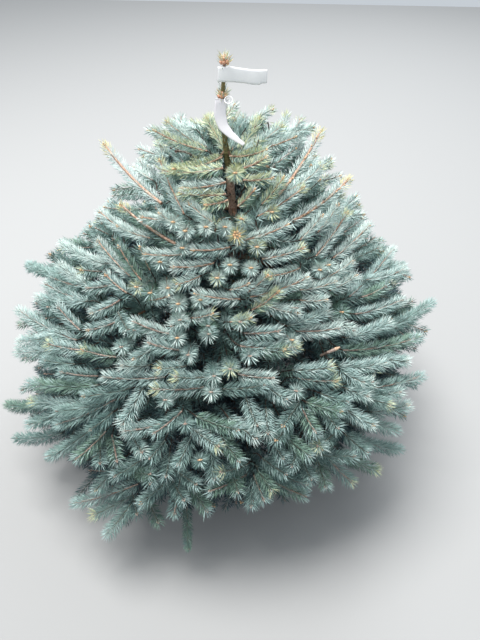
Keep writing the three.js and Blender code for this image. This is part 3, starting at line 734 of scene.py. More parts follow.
# ------------------------------------------------------------------ how much of each shoot shows, from all round
def visibility():
    n, k = len(SHOOTS), 7
    P = np.stack([resample(s["pts"], k) for s in SHOOTS]).reshape(-1, 3)
    sid = np.repeat(np.arange(n), k)
    best = np.zeros(n)
    seen_cam = np.zeros(n)
    rng = np.random.default_rng(11)
    views = [(None, None)] + [(az, 12) for az in range(15, 375, 45)] + [(az, 42) for az in range(0, 360, 60)] + [(0, 85)]
    for az, el in views:
        if az is None:
            xy, d = project(P)
            uv = xy * 1.0 / 3.6
            rad = FOCAL * 19 / d / 3.6
        else:
            a, e = math.radians(az), math.radians(el)
            fwd = np.array([-math.sin(a) * math.cos(e), math.cos(a) * math.cos(e), -math.sin(e)])
            rt = unit(np.cross(fwd, UP))
            upv = np.cross(rt, fwd)
            uv = np.stack([P @ rt, P @ upv], 1) / 9.0
            d = P @ fwd
            rad = np.full(len(P), 19 / 9.0)
        uv = uv - uv.min(0) + 4
        W = int(uv[:, 0].max()) + 8
        off = [(i, j) for i in range(-2, 3) for j in range(-2, 3) if i * i + j * j <= 5]
        idx, ids, dep = [], [], []
        for i, j in off:
            ok = (math.hypot(i, j) <= rad + 0.3) & (rng.random(len(P)) < 0.62)
            q = np.round(uv[ok]).astype(int) + [i, j]
            idx.append(q[:, 1] * W + q[:, 0])
            ids.append(sid[ok])
            dep.append(d[ok])
        idx, ids, dep = np.concatenate(idx), np.concatenate(ids), np.concatenate(dep)
        order = np.argsort(-dep, kind="stable")
        buf = np.full(idx.max() + 1, -1)
        buf[idx[order]] = ids[order]
        got = np.bincount(buf[buf >= 0], minlength=n)
        pairs = np.unique(np.stack([idx, ids]), axis=1)[1]
        full_area = np.bincount(pairs, minlength=n)
        share = got / np.maximum(full_area, 1)
        if az is None:
            seen_cam = share
        best = np.maximum(best, share)
    return seen_cam, best


tree = KDTree(sum(len(s["pts"]) for s in SHOOTS))
for _i, _p in enumerate(np.concatenate([s["pts"] for s in SHOOTS])):
    tree.insert(_p, _i)
tree.balance()
for L in LIMBS:
    n = len(L["pts"])
    while n > 8 and (tree.find(L["pts"][n - 1])[2] > 12 or outside_outline(project(L["pts"][n - 1])[0], -6.0)[0]):
        n -= 1
    if n < len(L["pts"]):
        if L["main"]:
            L["knee"] = min(L["knee"] * len(L["pts"]) / n, 0.98)
        L["pts"] = L["pts"][:n]

print("shoots", len(SHOOTS), "metres", round(sum(length_of(s["pts"]) for s in SHOOTS) / 1000, 1))
seen_cam, seen_any = visibility()
for sh, a, b in zip(SHOOTS, seen_cam, seen_any):
    sh["score"] = max(1.1 * a, b) if not sh["fixed"] else 2.0
score = np.array([s["score"] for s in SHOOTS])
print("score quantiles", np.quantile(score, [0.1, 0.25, 0.5, 0.75, 0.9]).round(2))


# ------------------------------------------------------------------ mesh building
def make_object(name, verts, faces, mats, index=None, smooth_shade=True):
    me = bpy.data.meshes.new(name)
    verts = np.asarray(verts, np.float32) * 0.001
    faces = np.asarray(faces, np.int32)
    n, w = faces.shape
    me.vertices.add(len(verts))
    me.vertices.foreach_set("co", verts.ravel())
    me.loops.add(n * w)
    me.loops.foreach_set("vertex_index", faces.ravel())
    me.polygons.add(n)
    me.polygons.foreach_set("loop_start", np.arange(0, n * w, w, dtype=np.int32))
    me.polygons.foreach_set("loop_total", np.full(n, w, np.int32))
    for m in mats:
        me.materials.append(m)
    if index is not None:
        me.polygons.foreach_set("material_index", np.asarray(index, np.int32))
    me.update(calc_edges=True)
    me.validate()
    me.polygons.foreach_set("use_smooth", np.full(len(me.polygons), smooth_shade))
    ob = bpy.data.objects.new(name, me)
    bpy.context.scene.collection.objects.link(ob)
    return ob


def frames_along(pts):
    t = np.gradient(pts, axis=0)
    t = unit(t)
    ref = UP if abs(t[:, 2]).mean() < 0.8 else np.array([1.0, 0, 0])
    a = unit(np.cross(t, ref))
    b = np.cross(a, t)
    return t, a, b


def tube(pts, radii, sides, cap=True, wave=None):
    """Quads of a tube along pts; wave(i, ring angles) may change the radius."""
    pts = np.asarray(pts, float)
    _, a, b = frames_along(pts)
    ang = np.arange(sides) / sides * 2 * math.pi
    r = np.repeat(np.asarray(radii, float)[:, None], sides, 1)
    if wave is not None:
        r = r * wave(pts, ang)
    v = pts[:, None, :] + r[..., None] * (np.cos(ang)[None, :, None] * a[:, None, :] + np.sin(ang)[None, :, None] * b[:, None, :])
    m = len(pts)
    i, j = np.meshgrid(np.arange(m - 1), np.arange(sides), indexing="ij")
    j2 = (j + 1) % sides
    f = np.stack([i * sides + j, i * sides + j2, (i + 1) * sides + j2, (i + 1) * sides + j], -1).reshape(-1, 4)
    return v.reshape(-1, 3), f


class Batch:
    def __init__(self):
        self.v, self.f, self.m, self.n = [], [], [], 0

    def add(self, v, f, m=0):
        self.v.append(v)
        self.f.append(f + self.n)
        self.m.append(np.full(len(f), m, np.int32) if np.isscalar(m) else m)
        self.n += len(v)

    def faces(self):
        return sum(len(f) for f in self.f)

    def arrays(self):
        return np.concatenate(self.v), np.concatenate(self.f), np.concatenate(self.m)


# ------------------------------------------------------------------ materials
def principled(name, base, rough, specular=0.5, sheen=0.0, coat=0.0):
    m = bpy.data.materials.new(name)
    m.use_nodes = True
    b = m.node_tree.nodes["Principled BSDF"]
    b.inputs["Base Color"].default_value = (*base, 1)
    b.inputs["Roughness"].default_value = rough
    b.inputs["Specular IOR Level"].default_value = specular
    b.inputs["Sheen Weight"].default_value = sheen
    b.inputs["Coat Weight"].default_value = coat
    m.diffuse_color = (*base, 1)
    return m, b


def node(m, kind, **values):
    n = m.node_tree.nodes.new(kind)
    for k, v in values.items():
        if k.startswith("_"):
            setattr(n, k[1:], v)
        else:
            n.inputs[k.replace("_", " ")].default_value = v
    return n


def noise_mix(m, b, colours, scale, detail=3.0, stops=(0.35, 0.65), rough=None, bump=None):
    """Base colour from a noise through a ramp of colours, in object coordinates."""
    lk = m.node_tree.links
    co = m.node_tree.nodes.new("ShaderNodeTexCoord")
    nz = node(m, "ShaderNodeTexNoise", Scale=scale, Detail=detail, Roughness=0.55)
    lk.new(co.outputs["Object"], nz.inputs["Vector"])
    ramp = m.node_tree.nodes.new("ShaderNodeValToRGB")
    el = ramp.color_ramp.elements
    while len(el) < len(colours):
        el.new(0.5)
    for i, c in enumerate(colours):
        el[i].position = stops[0] + (stops[1] - stops[0]) * i / max(1, len(colours) - 1)
        el[i].color = (*c, 1)
    lk.new(nz.outputs["Fac"], ramp.inputs["Fac"])
    lk.new(ramp.outputs["Color"], b.inputs["Base Color"])
    if rough:
        mr = node(m, "ShaderNodeMapRange")
        mr.inputs["To Min"].default_value, mr.inputs["To Max"].default_value = rough
        lk.new(nz.outputs["Fac"], mr.inputs["Value"])
        lk.new(mr.outputs["Result"], b.inputs["Roughness"])
    if bump:
        strength, distance, bscale = bump
        n2 = node(m, "ShaderNodeTexNoise", Scale=bscale, Detail=4.0, Roughness=0.6)
        lk.new(co.outputs["Object"], n2.inputs["Vector"])
        bp = node(m, "ShaderNodeBump", Strength=strength, Distance=distance)
        lk.new(n2.outputs["Fac"], bp.inputs["Height"])
        lk.new(bp.outputs["Normal"], b.inputs["Normal"])
    return nz


def srgb(r, g, b):
    f = lambda c: (c / 255) / 12.92 if c / 255 <= 0.04045 else ((c / 255 + 0.055) / 1.055) ** 2.4
    return (f(r), f(g), f(b))


# needle tints from darkest to palest; besides the needles' own range of colour, the darker ones serve as painted shade
# and the paler ones as painted light
NEEDLE_TINTS = [
    ("needle_deep", (62, 86, 93)),
    ("needle_dusk", (87, 116, 113)),
    ("needle_blue", (113, 142, 137)),
    ("needle_mid", (142, 169, 162)),
    ("needle_mint", (176, 200, 196)),
    ("needle_pale", (207, 222, 216)),
    ("needle_warm", (210, 216, 180)),
    ("needle_green", (134, 164, 147)),
    ("needle_moss", (98, 126, 113)),
    ("needle_gold", (220, 216, 168)),
]
WARM, GREEN, MOSS, GOLD = 6, 7, 8, 9
PALER = np.array([1, 2, 3, 4, 5, 5, 5, 4, GREEN, 5])
DARKER = np.array([0, 0, 1, 2, 3, 4, GREEN, MOSS, 1, WARM])
needle_mats = []
for nm, c in NEEDLE_TINTS:
    m, b = principled(nm, srgb(*c), 0.52, 0.42, sheen=0.12)
    base = np.array(srgb(*c))
    noise_mix(m, b, [tuple(base * 0.86), tuple(np.minimum(base * 1.12, 1))], 60.0, 2.0, (0.4, 0.6), rough=(0.46, 0.60))
    needle_mats.append(m)

twig_new, b = principled("twig_new", srgb(158, 122, 106), 0.6)
noise_mix(twig_new, b, [srgb(122, 104, 94), srgb(158, 136, 123), srgb(196, 178, 166)], 260.0, 4.0, (0.34, 0.68), (0.5, 0.7), (0.5, 0.0006, 900.0))
twig_orange, b = principled("twig_orange", srgb(184, 130, 92), 0.6)
noise_mix(twig_orange, b, [srgb(138, 106, 88), srgb(178, 142, 120), srgb(212, 186, 162)], 260.0, 4.0, (0.34, 0.68), (0.5, 0.7), (0.5, 0.0006, 900.0))
twig_old, b = principled("twig_old", srgb(78, 64, 54), 0.8)
noise_mix(twig_old, b, [srgb(52, 44, 38), srgb(78, 64, 54), srgb(98, 82, 72)], 180.0, 5.0, (0.34, 0.68), (0.7, 0.9), (0.7, 0.001, 600.0))
twig_grey, b = principled("twig_grey", srgb(112, 116, 104), 0.7)
noise_mix(twig_grey, b, [srgb(92, 94, 84), srgb(116, 120, 108), srgb(136, 138, 126)], 220.0, 4.0, (0.34, 0.68), (0.6, 0.8), (0.6, 0.0008, 800.0))
wood_pale, b = principled("wood_pale", srgb(222, 190, 160), 0.7)
noise_mix(wood_pale, b, [srgb(196, 158, 126), srgb(232, 206, 180)], 260.0, 4.0, (0.36, 0.66), (0.6, 0.8), (0.5, 0.0006, 900.0))
bud_mat, b = principled("bud", srgb(222, 176, 120), 0.5)
noise_mix(bud_mat, b, [srgb(180, 130, 96), srgb(216, 176, 132), srgb(236, 214, 178)], 420.0, 3.0, (0.36, 0.66), (0.4, 0.6), (0.6, 0.0006, 1200.0))
bud_low, b = principled("bud_low", srgb(184, 148, 120), 0.55)
noise_mix(bud_low, b, [srgb(150, 120, 108), srgb(194, 168, 152), srgb(222, 206, 192)], 420.0, 3.0, (0.36, 0.66), (0.4, 0.6), (0.6, 0.0006, 1200.0))
bark_mat, b = principled("bark", srgb(112, 84, 64), 0.85)
noise_mix(bark_mat, b, [srgb(70, 52, 42), srgb(118, 86, 62), srgb(136, 116, 100)], 120.0, 6.0, (0.33, 0.70), (0.75, 0.95), (0.8, 0.0012, 420.0))


# ------------------------------------------------------------------ needles
def curve_at(pts, s):
    n = len(pts) - 1
    x = np.clip(s, 0, 1) * n
    i = np.minimum(x.astype(int), n - 1)
    f = (x - i)[:, None]
    return pts[i] * (1 - f) + pts[i + 1] * f, unit(pts[i + 1] - pts[i])


def needles(sh, per_mm, faces4=True):
    """Vertices and triangles of one shoot's needles."""
    pts, L = sh["pts"], length_of(sh["pts"])
    n = max(12, int(L * (1 - sh["bare"]) * per_mm * sh["dense"]))
    s = sh["bare"] + (1 - sh["bare"]) * (np.arange(n) + RNG.random(n)) / n
    phi = GOLDEN * np.arange(n) + RNG.normal(0, 0.16, n) + RNG.uniform(0, 6.28)
    # a parting along the upper side, where the twig shows
    P, T = curve_at(pts, s)
    if sh["part"] > 0:
        A = unit(np.cross(T, UP[None]))
        o = np.cos(phi)[:, None] * A + np.sin(phi)[:, None] * np.cross(A, T)
        f = (CAM if sh["fixed"] else P + UP * 500) - P
        f = unit(f - (f * T).sum(1, keepdims=True) * T)
        keep = RNG.random(n) > sh["part"] * np.clip(((o * f).sum(1) - 0.70) / 0.14, 0, 1) * (s < 0.93)
        s, phi, P, T = s[keep], phi[keep], P[keep], T[keep]
    n = len(s)
    A = unit(np.cross(T, UP[None]))
    flat = np.abs(T[:, 2]) > 0.96
    A[flat] = unit(np.cross(T[flat], np.array([[1.0, 0, 0]])))
    B = np.cross(A, T)
    radial = np.cos(phi)[:, None] * A + np.sin(phi)[:, None] * B
    near = np.clip((s - 0.88) / 0.12, 0, 1) if sh["tip"] else np.zeros(n)
    theta = np.radians(58 - 9 * np.sin(phi) + RNG.normal(0, 6, n)) * (1 - near) + np.radians(sh.get("splay", 38) + RNG.normal(0, 9, n)) * near
    d = np.cos(theta)[:, None] * T + np.sin(theta)[:, None] * radial
    d = unit(d + UP * (0.16 * (1 - np.abs(near)))[:, None])
    size = 21.5 * sh["needle"] * (1 + RNG.normal(0, 0.07, n)) * (1 - 0.10 * np.clip(np.sin(phi), 0, 1)) * (1 - 0.22 * near)
    size *= 0.80 + 0.20 * np.clip(s / 0.08, 0, 1) if sh["tip"] else 1.0
    d2 = unit(d + 0.34 * T + 0.10 * UP)
    r = (sh["r0"] + (sh["r1"] - sh["r0"]) * s) * 0.75
    base = P + radial * r[:, None]
    roll = RNG.normal(0, 1, (n, 3)) * 0.7 + 0.6 * radial + 0.45 * UP
    nrm = unit(roll - (roll * d).sum(1, keepdims=True) * d)
    sd = np.cross(d, nrm)
    hw, fold = (0.86, 0.44) if faces4 else ((1.0, 0.5), (1.0, 0.5), (1.15, 0.55), (2.0, 0.7))[sh["kind"]]
    if faces4:
        mid = base + d * (0.50 * size)[:, None]
        tip = base + d * (0.50 * size)[:, None] + d2 * (0.50 * size)[:, None]
        ridge = mid + nrm * fold
        left = mid + sd * hw - nrm * fold
        right = mid - sd * hw - nrm * fold
        v = np.stack([base, left, ridge, right, tip], 1).reshape(-1, 3)
        o = (np.arange(n) * 5)[:, None]
        f = np.concatenate([o + [0, 3, 2], o + [0, 2, 1], o + [4, 2, 3], o + [4, 1, 2]], 1).reshape(-1, 3)
    else:
        mid = base + d * (0.46 * size)[:, None]
        tip = base + unit(d + d2) * size[:, None]
        left = mid + sd * hw - nrm * fold
        right = mid - sd * hw - nrm * fold
        v = np.stack([base, left, right, tip], 1).reshape(-1, 3)
        o = (np.arange(n) * 4)[:, None]
        f = np.concatenate([o + [0, 3, 1], o + [0, 2, 3]], 1).reshape(-1, 3)
    return v, f, s, np.sin(phi)


def depth_in(sh):
    """How deep in the crown a shoot's outer part lies."""
    p = sh["pts"][-3]
    c = trunk_centre(p[2])
    x, y = p[0] - c[0], p[1] - c[1]
    return envelope(p[2], math.atan2(y, x)) - math.hypot(x, y)


def tint_of(sh, depth):
    """Index of a spray's tint: paler high up, partly the younger needles' own colour and partly painted light from
    above; paler on the shoots that show most, as painted light; darker low down, deep in the crown, on shoots little
    seen and on fill towards the front, as painted shade.
    """
    u = float(RNG.random())
    warm = HABIT[sh["tier"]]["warm"] if sh["warm"] is None else sh["warm"]
    # height raises the tint, partly the younger needles' own colour and partly painted light; shoots little seen step
    # darker as painted shade, those that show most step paler as painted light
    light_level = 0.60 + 4.10 * min(max(sh["pts"][-1][2] / 880, 0), 1.05) + (0.80 if sh["fixed"] else -0.2, -0.5, -1.0, -1.9)[sh["kind"]]
    # fill shoots towards the front stay darker than those behind: painted shade
    if not sh["fixed"] and sh["kind"] < 2:
        light_level += 0.9 * float(smooth((sh["pts"][-1][1] + 80) / 260))
    # the highest tiers a little paler as painted light; deeper in the crown darker as painted shade
    light_level += (0.6 if sh["fixed"] else -0.2) * (sh["tier"] == "top") + 0.2 * (sh["tier"] == "shoulder") - min(max((depth - 55) / 75, 0), 2.4)
    if light_level > 1.4:
        if u < ((0.55 if sh["fixed"] else 0.2) if sh["tier"] == "top" else 0.03 if sh["tier"] == "shoulder" else 0.0):
            return WARM
        if u < (0.0 if sh["tier"] == "top" else 0.34 if sh["tier"] in ("skirt", "lower") else 0.22 if light_level < 3 else 0.10):
            return GREEN if light_level > 2.5 else MOSS
    return int(min(max(round(light_level + float(RNG.normal(0, 0.42))), 0), 5))


NEEDLE_BUDGET = 750000
for sh in SHOOTS:
    sh["depth"] = depth_in(sh)
    sc = sh["score"]
    sh["kind"] = 0 if sh["fixed"] or sc > 0.62 else 1 if sc > 0.34 else 2 if sc > 0.10 or not sh["tip"] else 3
metres = [sum(length_of(s["pts"]) * s["dense"] * (2 if s["fixed"] else 1) for s in SHOOTS if s["kind"] == q) / 1000 for q in range(4)]
SHARE = (1.0, 0.9, 0.55, 0.20)          # needles per mm, against the densest
rate = NEEDLE_BUDGET / 1000 / sum(m * 2 * w for m, w in zip(metres, SHARE))
rate = min(rate, 2.2)
print("metres by class", np.round(metres, 1), "count", [sum(s["kind"] == q for s in SHOOTS) for q in range(4)], "rate", round(rate, 2))
full_ids = {id(s) for s in SHOOTS if s["kind"] < 2}

batches = {}


def batch_for(tier, kind, adding, limit):
    """The open batch of one kind on one tier; a new one starts when it is full."""
    rows = batches.setdefault((tier, kind), [Batch()])
    if rows[-1].faces() + adding > limit:
        rows.append(Batch())
    return rows[-1]


for sh in SHOOTS:
    is_full = sh["kind"] < 2
    sh["line"] = sh.get("line") if sh.get("line") is not None else int(RNG.random() < (0.45 if sh["tier"] in ("top", "shoulder", "upper") else 0.25))
    sh["part"] = (0.75 if sh.get("look") else 0.60 if sh["line"] else 0.0) if sh["kind"] < 2 else 0.0
    per = 4 if sh["fixed"] else 2
    v, f, s, top = needles(sh, rate * SHARE[sh["kind"]], per == 4)
    tint = tint_of(sh, sh["depth"])
    m = np.full(len(f), tint, np.int32)
    if is_full:
        # the newest needles at a shoot's end are paler, and a few needles of any shoot differ
        row = np.full(len(s), tint, np.int32)
        odd = RNG.random(len(s))
        row[odd < 0.15] = DARKER[tint]
        row[odd > 0.85] = PALER[tint]
        # needles on a shoot's underside step one tint darker: painted shade
        shaded_underside = (top < -0.2) & (RNG.random(len(s)) < 0.75)
        row[shaded_underside] = DARKER[row[shaded_underside]]
        if sh["tip"]:
            low = PALER[tint]
            new = WARM if RNG.random() < 0.07 + (0.8 if sh["tier"] == "top" else 0.4) * HABIT[sh["tier"]]["warm"] and tint > 1 else low
            row[(s > 0.86) & (odd < 0.6)] = new
            if sh.get("look") or sh.get("gold"):
                row[(s > 0.84) & (odd < 0.75)] = GOLD
        m = np.repeat(row, per)
    batch_for(sh["tier"], "needles", len(f), 190000).add(v, f, m)

# twigs and buds
for sh in SHOOTS:
    is_full = id(sh) in full_ids
    pts = resample(sh["pts"], 7 if is_full else 4)
    rad = np.linspace(sh["r0"], sh["r1"], len(pts)) * ((1.0 if sh.get("look") else 0.82 if sh["line"] else 0.7) if sh["kind"] < 2 and sh["order"] < 3 else 0.6)
    v, f = tube(pts, rad, 5 if is_full else 3)
    bright = sh.get("look") or (sh["fixed"] and sh["tier"] in ("top", "shoulder"))
    look = 1 if sh["kind"] > 1 or sh["order"] > 2 else 2 if bright else 0 if sh["line"] else 4
    batch_for(sh["tier"], "twigs", 2 * len(f), 190000).add(v, f, look)


def bud(p, d, length, radius, sides=5):
    d = unit(d)
    a = unit(np.cross(d, UP if abs(d[2]) < 0.9 else np.array([1.0, 0, 0])))
    b = np.cross(a, d)
    ang = np.arange(sides) / sides * 2 * math.pi
    ring = lambda s, r: p + d * length * s + radius * r * (np.cos(ang)[:, None] * a + np.sin(ang)[:, None] * b)
    v = np.concatenate([[p - d * 0.5], ring(0.28, 0.95), ring(0.62, 0.85), [p + d * length]])
    f = []
    for i in range(sides):
        j = (i + 1) % sides
        f += [[0, 1 + j, 1 + i], [1 + i, 1 + j, 1 + sides + j], [1 + i, 1 + sides + j, 1 + sides + i], [1 + sides + i, 1 + sides + j, 1 + 2 * sides]]
    return v, np.array(f)


for sh in SHOOTS:
    if not sh["tip"] or id(sh) not in full_ids or (sh["kind"] == 1 and RNG.random() < 0.5):
        continue
    p, d = sh["pts"][-1], unit(sh["pts"][-1] - sh["pts"][-2])
    B = batch_for(sh["tier"], "buds", 60, 190000)
    high = 0 if sh["tier"] in ("top", "shoulder") and sh["kind"] == 0 or RNG.random() < 0.15 else 1
    big = 1.0 if high == 0 else 0.82
    B.add(*bud(p, d, 6.6 * big, 2.8 * big), high)
    if sh.get("gold"):
        side = unit(np.cross(d, UP))
        for g in np.arange(7) * 0.9:
            o = math.cos(g) * side + math.sin(g) * np.cross(side, d)
            B.add(*bud(p - d * 3 + o * 4.0, d + o * 0.8, 8.0, 3.2, 5), 0)
    if sh["kind"] == 0:
        side = unit(np.cross(d, UP))
        for sg in (1, -1):
            B.add(*bud(p - d * 2.5 + side * sg * 1.8, d + side * sg * 0.9, 5.0 * big, 2.1 * big, 4), high)

for sh in HEROES:
    if not sh["line"] or "look" not in sh:
        continue
    f = 0.16
    while f < 0.93:
        p, tg, sd, up = frame_at(sh["pts"], f)
        see = unit(CAM - p)
        see = unit(see - (see @ tg) * tg)
        o = unit(see + float(RNG.normal(0, 0.45)) * np.cross(tg, see))
        r = (sh["r0"] + (sh["r1"] - sh["r0"]) * f) * 0.8
        k = 1.4 if sh["look"] else 0.9
        batch_for(sh["tier"], "buds", 60, 190000).add(*bud(p + o * r, 0.75 * o + 0.6 * tg, 3.4 * k, 1.8 * k, 4), int(not sh["look"]))
        f += float(RNG.uniform(0.06, 0.12)) * (1.0 if sh["look"] else 1.7)

# the broken end of an old twig, in the middle on the right
a, b = on_crown(320, 356, 0.90), on_crown(340, 347, 0.965)
s = np.linspace(0, 1, 9)[:, None]
stub = a + (b - a) * s
v, f = tube(stub, np.array([3.0, 3.1, 2.9, 3.3, 3.2, 3.7, 3.9, 3.3, 1.4]), 7)
batch_for("middle", "twigs", 2 * len(f), 190000).add(v, f, np.where(np.arange(len(f)) >= 6 * 7, 3, np.where(np.arange(len(f)) >= 3 * 7, 0, 1)))

total = 0
for (tier, kind), rows in batches.items():
    for i, B in enumerate(rows):
        v, f, m = B.arrays()
        name = f"{kind}_{tier}" + (f"_{i + 1}" if len(rows) > 1 else "")
        mats = {"needles": needle_mats, "twigs": [twig_new, twig_old, twig_orange, wood_pale, twig_grey], "buds": [bud_mat, bud_low]}[kind]
        ob = make_object(name, v, f, mats, m, smooth_shade=(kind != "needles"))
        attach(ob, "root")
        if kind == "needles":
            n = {t["name"]: t["boughs"] for t in TIERS}[tier]
            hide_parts(*[f"foliage_{tier}_{j + 1}" for j in range(n)])
        tris = len(f) * (2 if f.shape[1] == 4 else 1)
        total += tris
        print(name, tris)
print("total of sprays", total)

# ------------------------------------------------------------------ trunk and boughs, with the bark's relief
def tri(quads):
    q = np.asarray(quads)
    return np.concatenate([q[:, [0, 1, 2]], q[:, [0, 2, 3]]])


def sines(p, scale, seed):
    """Smooth repeatable noise, about -1 to 1, from a few waves in space."""
    g = np.random.default_rng(seed)
    out = 0
    for _ in range(7):
        k = unit(g.normal(0, 1, 3)) * g.uniform(0.6, 1.7) / scale
        out = out + np.sin(p @ k * 2 * math.pi + g.uniform(0, 6.28))
    return out / 3.2


def cap_ring(first, count, centre, flip):
    i = np.arange(count)
    j = (i + 1) % count
    f = np.stack([first + i, first + j, np.full(count, centre)], 1)
    return f[:, ::-1] if flip else f


def loft_rings(rings, close=True):
    """Triangles through rings (rows, sides, 3); flat ends on centre points."""
    rows, sides, _ = rings.shape
    v = rings.reshape(-1, 3)
    i, j = np.meshgrid(np.arange(rows - 1), np.arange(sides), indexing="ij")
    j2 = (j + 1) % sides
    f = tri(np.stack([i * sides + j, i * sides + j2, (i + 1) * sides + j2, (i + 1) * sides + j], -1).reshape(-1, 4))
    if close:
        v = np.concatenate([v, [rings[0].mean(0)], [rings[-1].mean(0)]])
        f = np.concatenate([f, cap_ring(0, sides, len(v) - 2, True), cap_ring((rows - 1) * sides, sides, len(v) - 1, False)])
    return v, f


TRUNK_SIDES = 44
tz = np.concatenate([np.arange(SOIL_TOP, 1022, 2.6), [1024.0, 1026.0]])
ta = np.arange(TRUNK_SIDES) / TRUNK_SIDES * 2 * math.pi
rings = []
for z in tz:
    c = trunk_centre(z)
    flare = math.exp(-(z - SOIL_TOP) / FLARE_H)
    r = trunk_radius(z) * (1 + 0.14 * flare * np.cos(3 * ta + 0.7))
    q = np.stack([c[0] + r * np.cos(ta), c[1] + r * np.sin(ta), np.full(TRUNK_SIDES, z)], 1)
    old = smooth((640 - z) / 160)
    plates = np.abs(sines(q * [1, 1, 0.55], 11.0, 3))
    fine = sines(q, 3.6, 4)
    pegs = np.maximum(0, np.cos(5 * ta + z * 0.62)) * np.maximum(0, np.cos(3 * ta - z * 0.83 + 1.0))
    swell = 0.0
    for w in [t["z"] for t in TIERS]:
        swell += 0.16 * math.exp(-((z - w) / 9.0) ** 2)
    rr = r * (1 + swell) + old * (1.1 * (plates - 0.45) + 0.28 * fine) + (1 - old) * (0.75 * pegs + 0.16 * fine)
    rings.append(np.stack([c[0] + rr * np.cos(ta), c[1] + rr * np.sin(ta), np.full(TRUNK_SIDES, z)], 1))
v, f = loft_rings(np.array(rings))
stem_new, b = principled("stem_new", srgb(142, 112, 72), 0.75)
noise_mix(stem_new, b, [srgb(88, 86, 56), srgb(122, 112, 70), srgb(150, 128, 84)], 160.0, 5.0, (0.34, 0.68), (0.6, 0.85), (0.7, 0.001, 600.0))
stem_mid, b = principled("stem_mid", srgb(216, 176, 154), 0.7)
noise_mix(stem_mid, b, [srgb(172, 134, 114), srgb(218, 178, 156), srgb(236, 206, 186)], 200.0, 5.0, (0.34, 0.68), (0.55, 0.8), (0.6, 0.0008, 700.0))
mid_z = v[f].mean(1)[:, 2]
trunk_ob = make_object("trunk_bark", v, f, [bark_mat, stem_new, twig_new, stem_mid], np.where(mid_z > 1015, 2, np.where(mid_z > 800, 1, np.where(mid_z > 670, 3, 0))))
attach(trunk_ob, "root")
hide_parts("trunk")
print("trunk", len(f))

for t, tier in enumerate(TIERS):
    B = Batch()
    for li, L in enumerate([x for x in LIMBS if x["tier"] == t]):
        step = 6.0 if L["main"] else 13.0
        n = max(6, int(length_of(L["pts"]) / step))
        pts = resample(L["pts"], n)
        u = np.linspace(0, 1, n)
        if L["main"]:
            rad = np.where(u < L["knee"], L["r0"] + (L["rk"] - L["r0"]) * u / L["knee"], L["rk"] + (L["r1"] - L["rk"]) * (u - L["knee"]) / (1 - L["knee"]))
            rad = rad * (1 + 0.30 * np.exp(-u * length_of(pts) / 9.0))
        else:
            rad = L["r0"] + (L["r1"] - L["r0"]) * u
        sides = 9 if L["main"] else 5
        vq, fq = tube(pts, rad, sides)
        centre = np.repeat(pts, sides, 0)
        out = unit(vq - centre)
        vq = vq + out * (0.45 * sines(vq, 8.0, 21 + t) + 0.22 * sines(vq, 3.2, 31 + t))[:, None] * (1.0 if L["main"] else 0.6)
        v = np.concatenate([vq, [pts[0]], [pts[-1]]])
        f = np.concatenate([tri(fq), cap_ring(0, sides, len(v) - 2, True), cap_ring((n - 1) * sides, sides, len(v) - 1, False)])
        B.add(v, f, 0 if L["main"] else 1)
    v, f, m = B.arrays()
    ob = make_object(f"boughs_{tier['name']}", v, f, [bark_mat, twig_old], m)
    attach(ob, "root")
    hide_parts(*[f"bough_{tier['name']}_{j + 1}" for j in range(tier["boughs"])])
    total += len(f)
    print(ob.name, len(f))


# ------------------------------------------------------------------ the leader's buds and needles
def one_needle(base, d, size, nrm, width=0.86):
    d, nrm = unit(d), unit(nrm - (nrm @ d) * d)
    sd = np.cross(d, nrm)
    mid = base + d * 0.5 * size
    v = np.array([base, mid + sd * width - nrm * 0.42, mid + nrm * 0.42, mid - sd * width - nrm * 0.42, base + d * size])
    return v, np.array([[0, 3, 2], [0, 2, 1], [4, 2, 3], [4, 1, 2]])


LN, LB = Batch(), Batch()


def leader_cluster(z0, count, spread, long_, central):
    """Buds in a ring round the stem, with short bright needles between them."""
    c = trunk_centre(z0)
    axis = unit(np.array([*(trunk_centre(z0 + 20) - c), 20.0]))
    a = unit(np.cross(axis, [0, 1.0, 0]))
    b = np.cross(axis, a)
    r = trunk_radius(z0)
    p0 = np.array([c[0], c[1], z0])
    for i in range(count):
        g = 2 * math.pi * (i + 0.3) / count
        o = math.cos(g) * a + math.sin(g) * b
        LB.add(*bud(p0 + o * r * 0.8 + axis * (1.5 * (i % 3)), axis * 0.62 + o * 0.75, 11.0, 4.0, 7))
        LB.add(*bud(p0 + o * r * 0.6 + axis * (6 + 1.5 * (i % 2)), axis * 0.9 + o * 0.42, 9.0, 3.1, 6))
    if central:
        LB.add(*bud(p0 + axis * 4, axis, 17.0, 4.6, 8))
    for i in range(long_):
        g = GOLDEN * i
        o = math.cos(g) * a + math.sin(g) * b
        th = math.radians(float(RNG.uniform(*spread)))
        h = float(RNG.uniform(-3, 11))
        size = float(RNG.uniform(15, 24))
        v, f = one_needle(p0 + o * r * 0.9 + axis * h, axis * math.cos(th) + o * math.sin(th), size, o + RNG.normal(0, 0.5, 3), 0.95)
        LN.add(v, f, (WARM, 5, 10)[i % 3])


leader_cluster(1022, 6, (14, 58), 66, True)
leader_cluster(955, 6, (16, 58), 60, False)
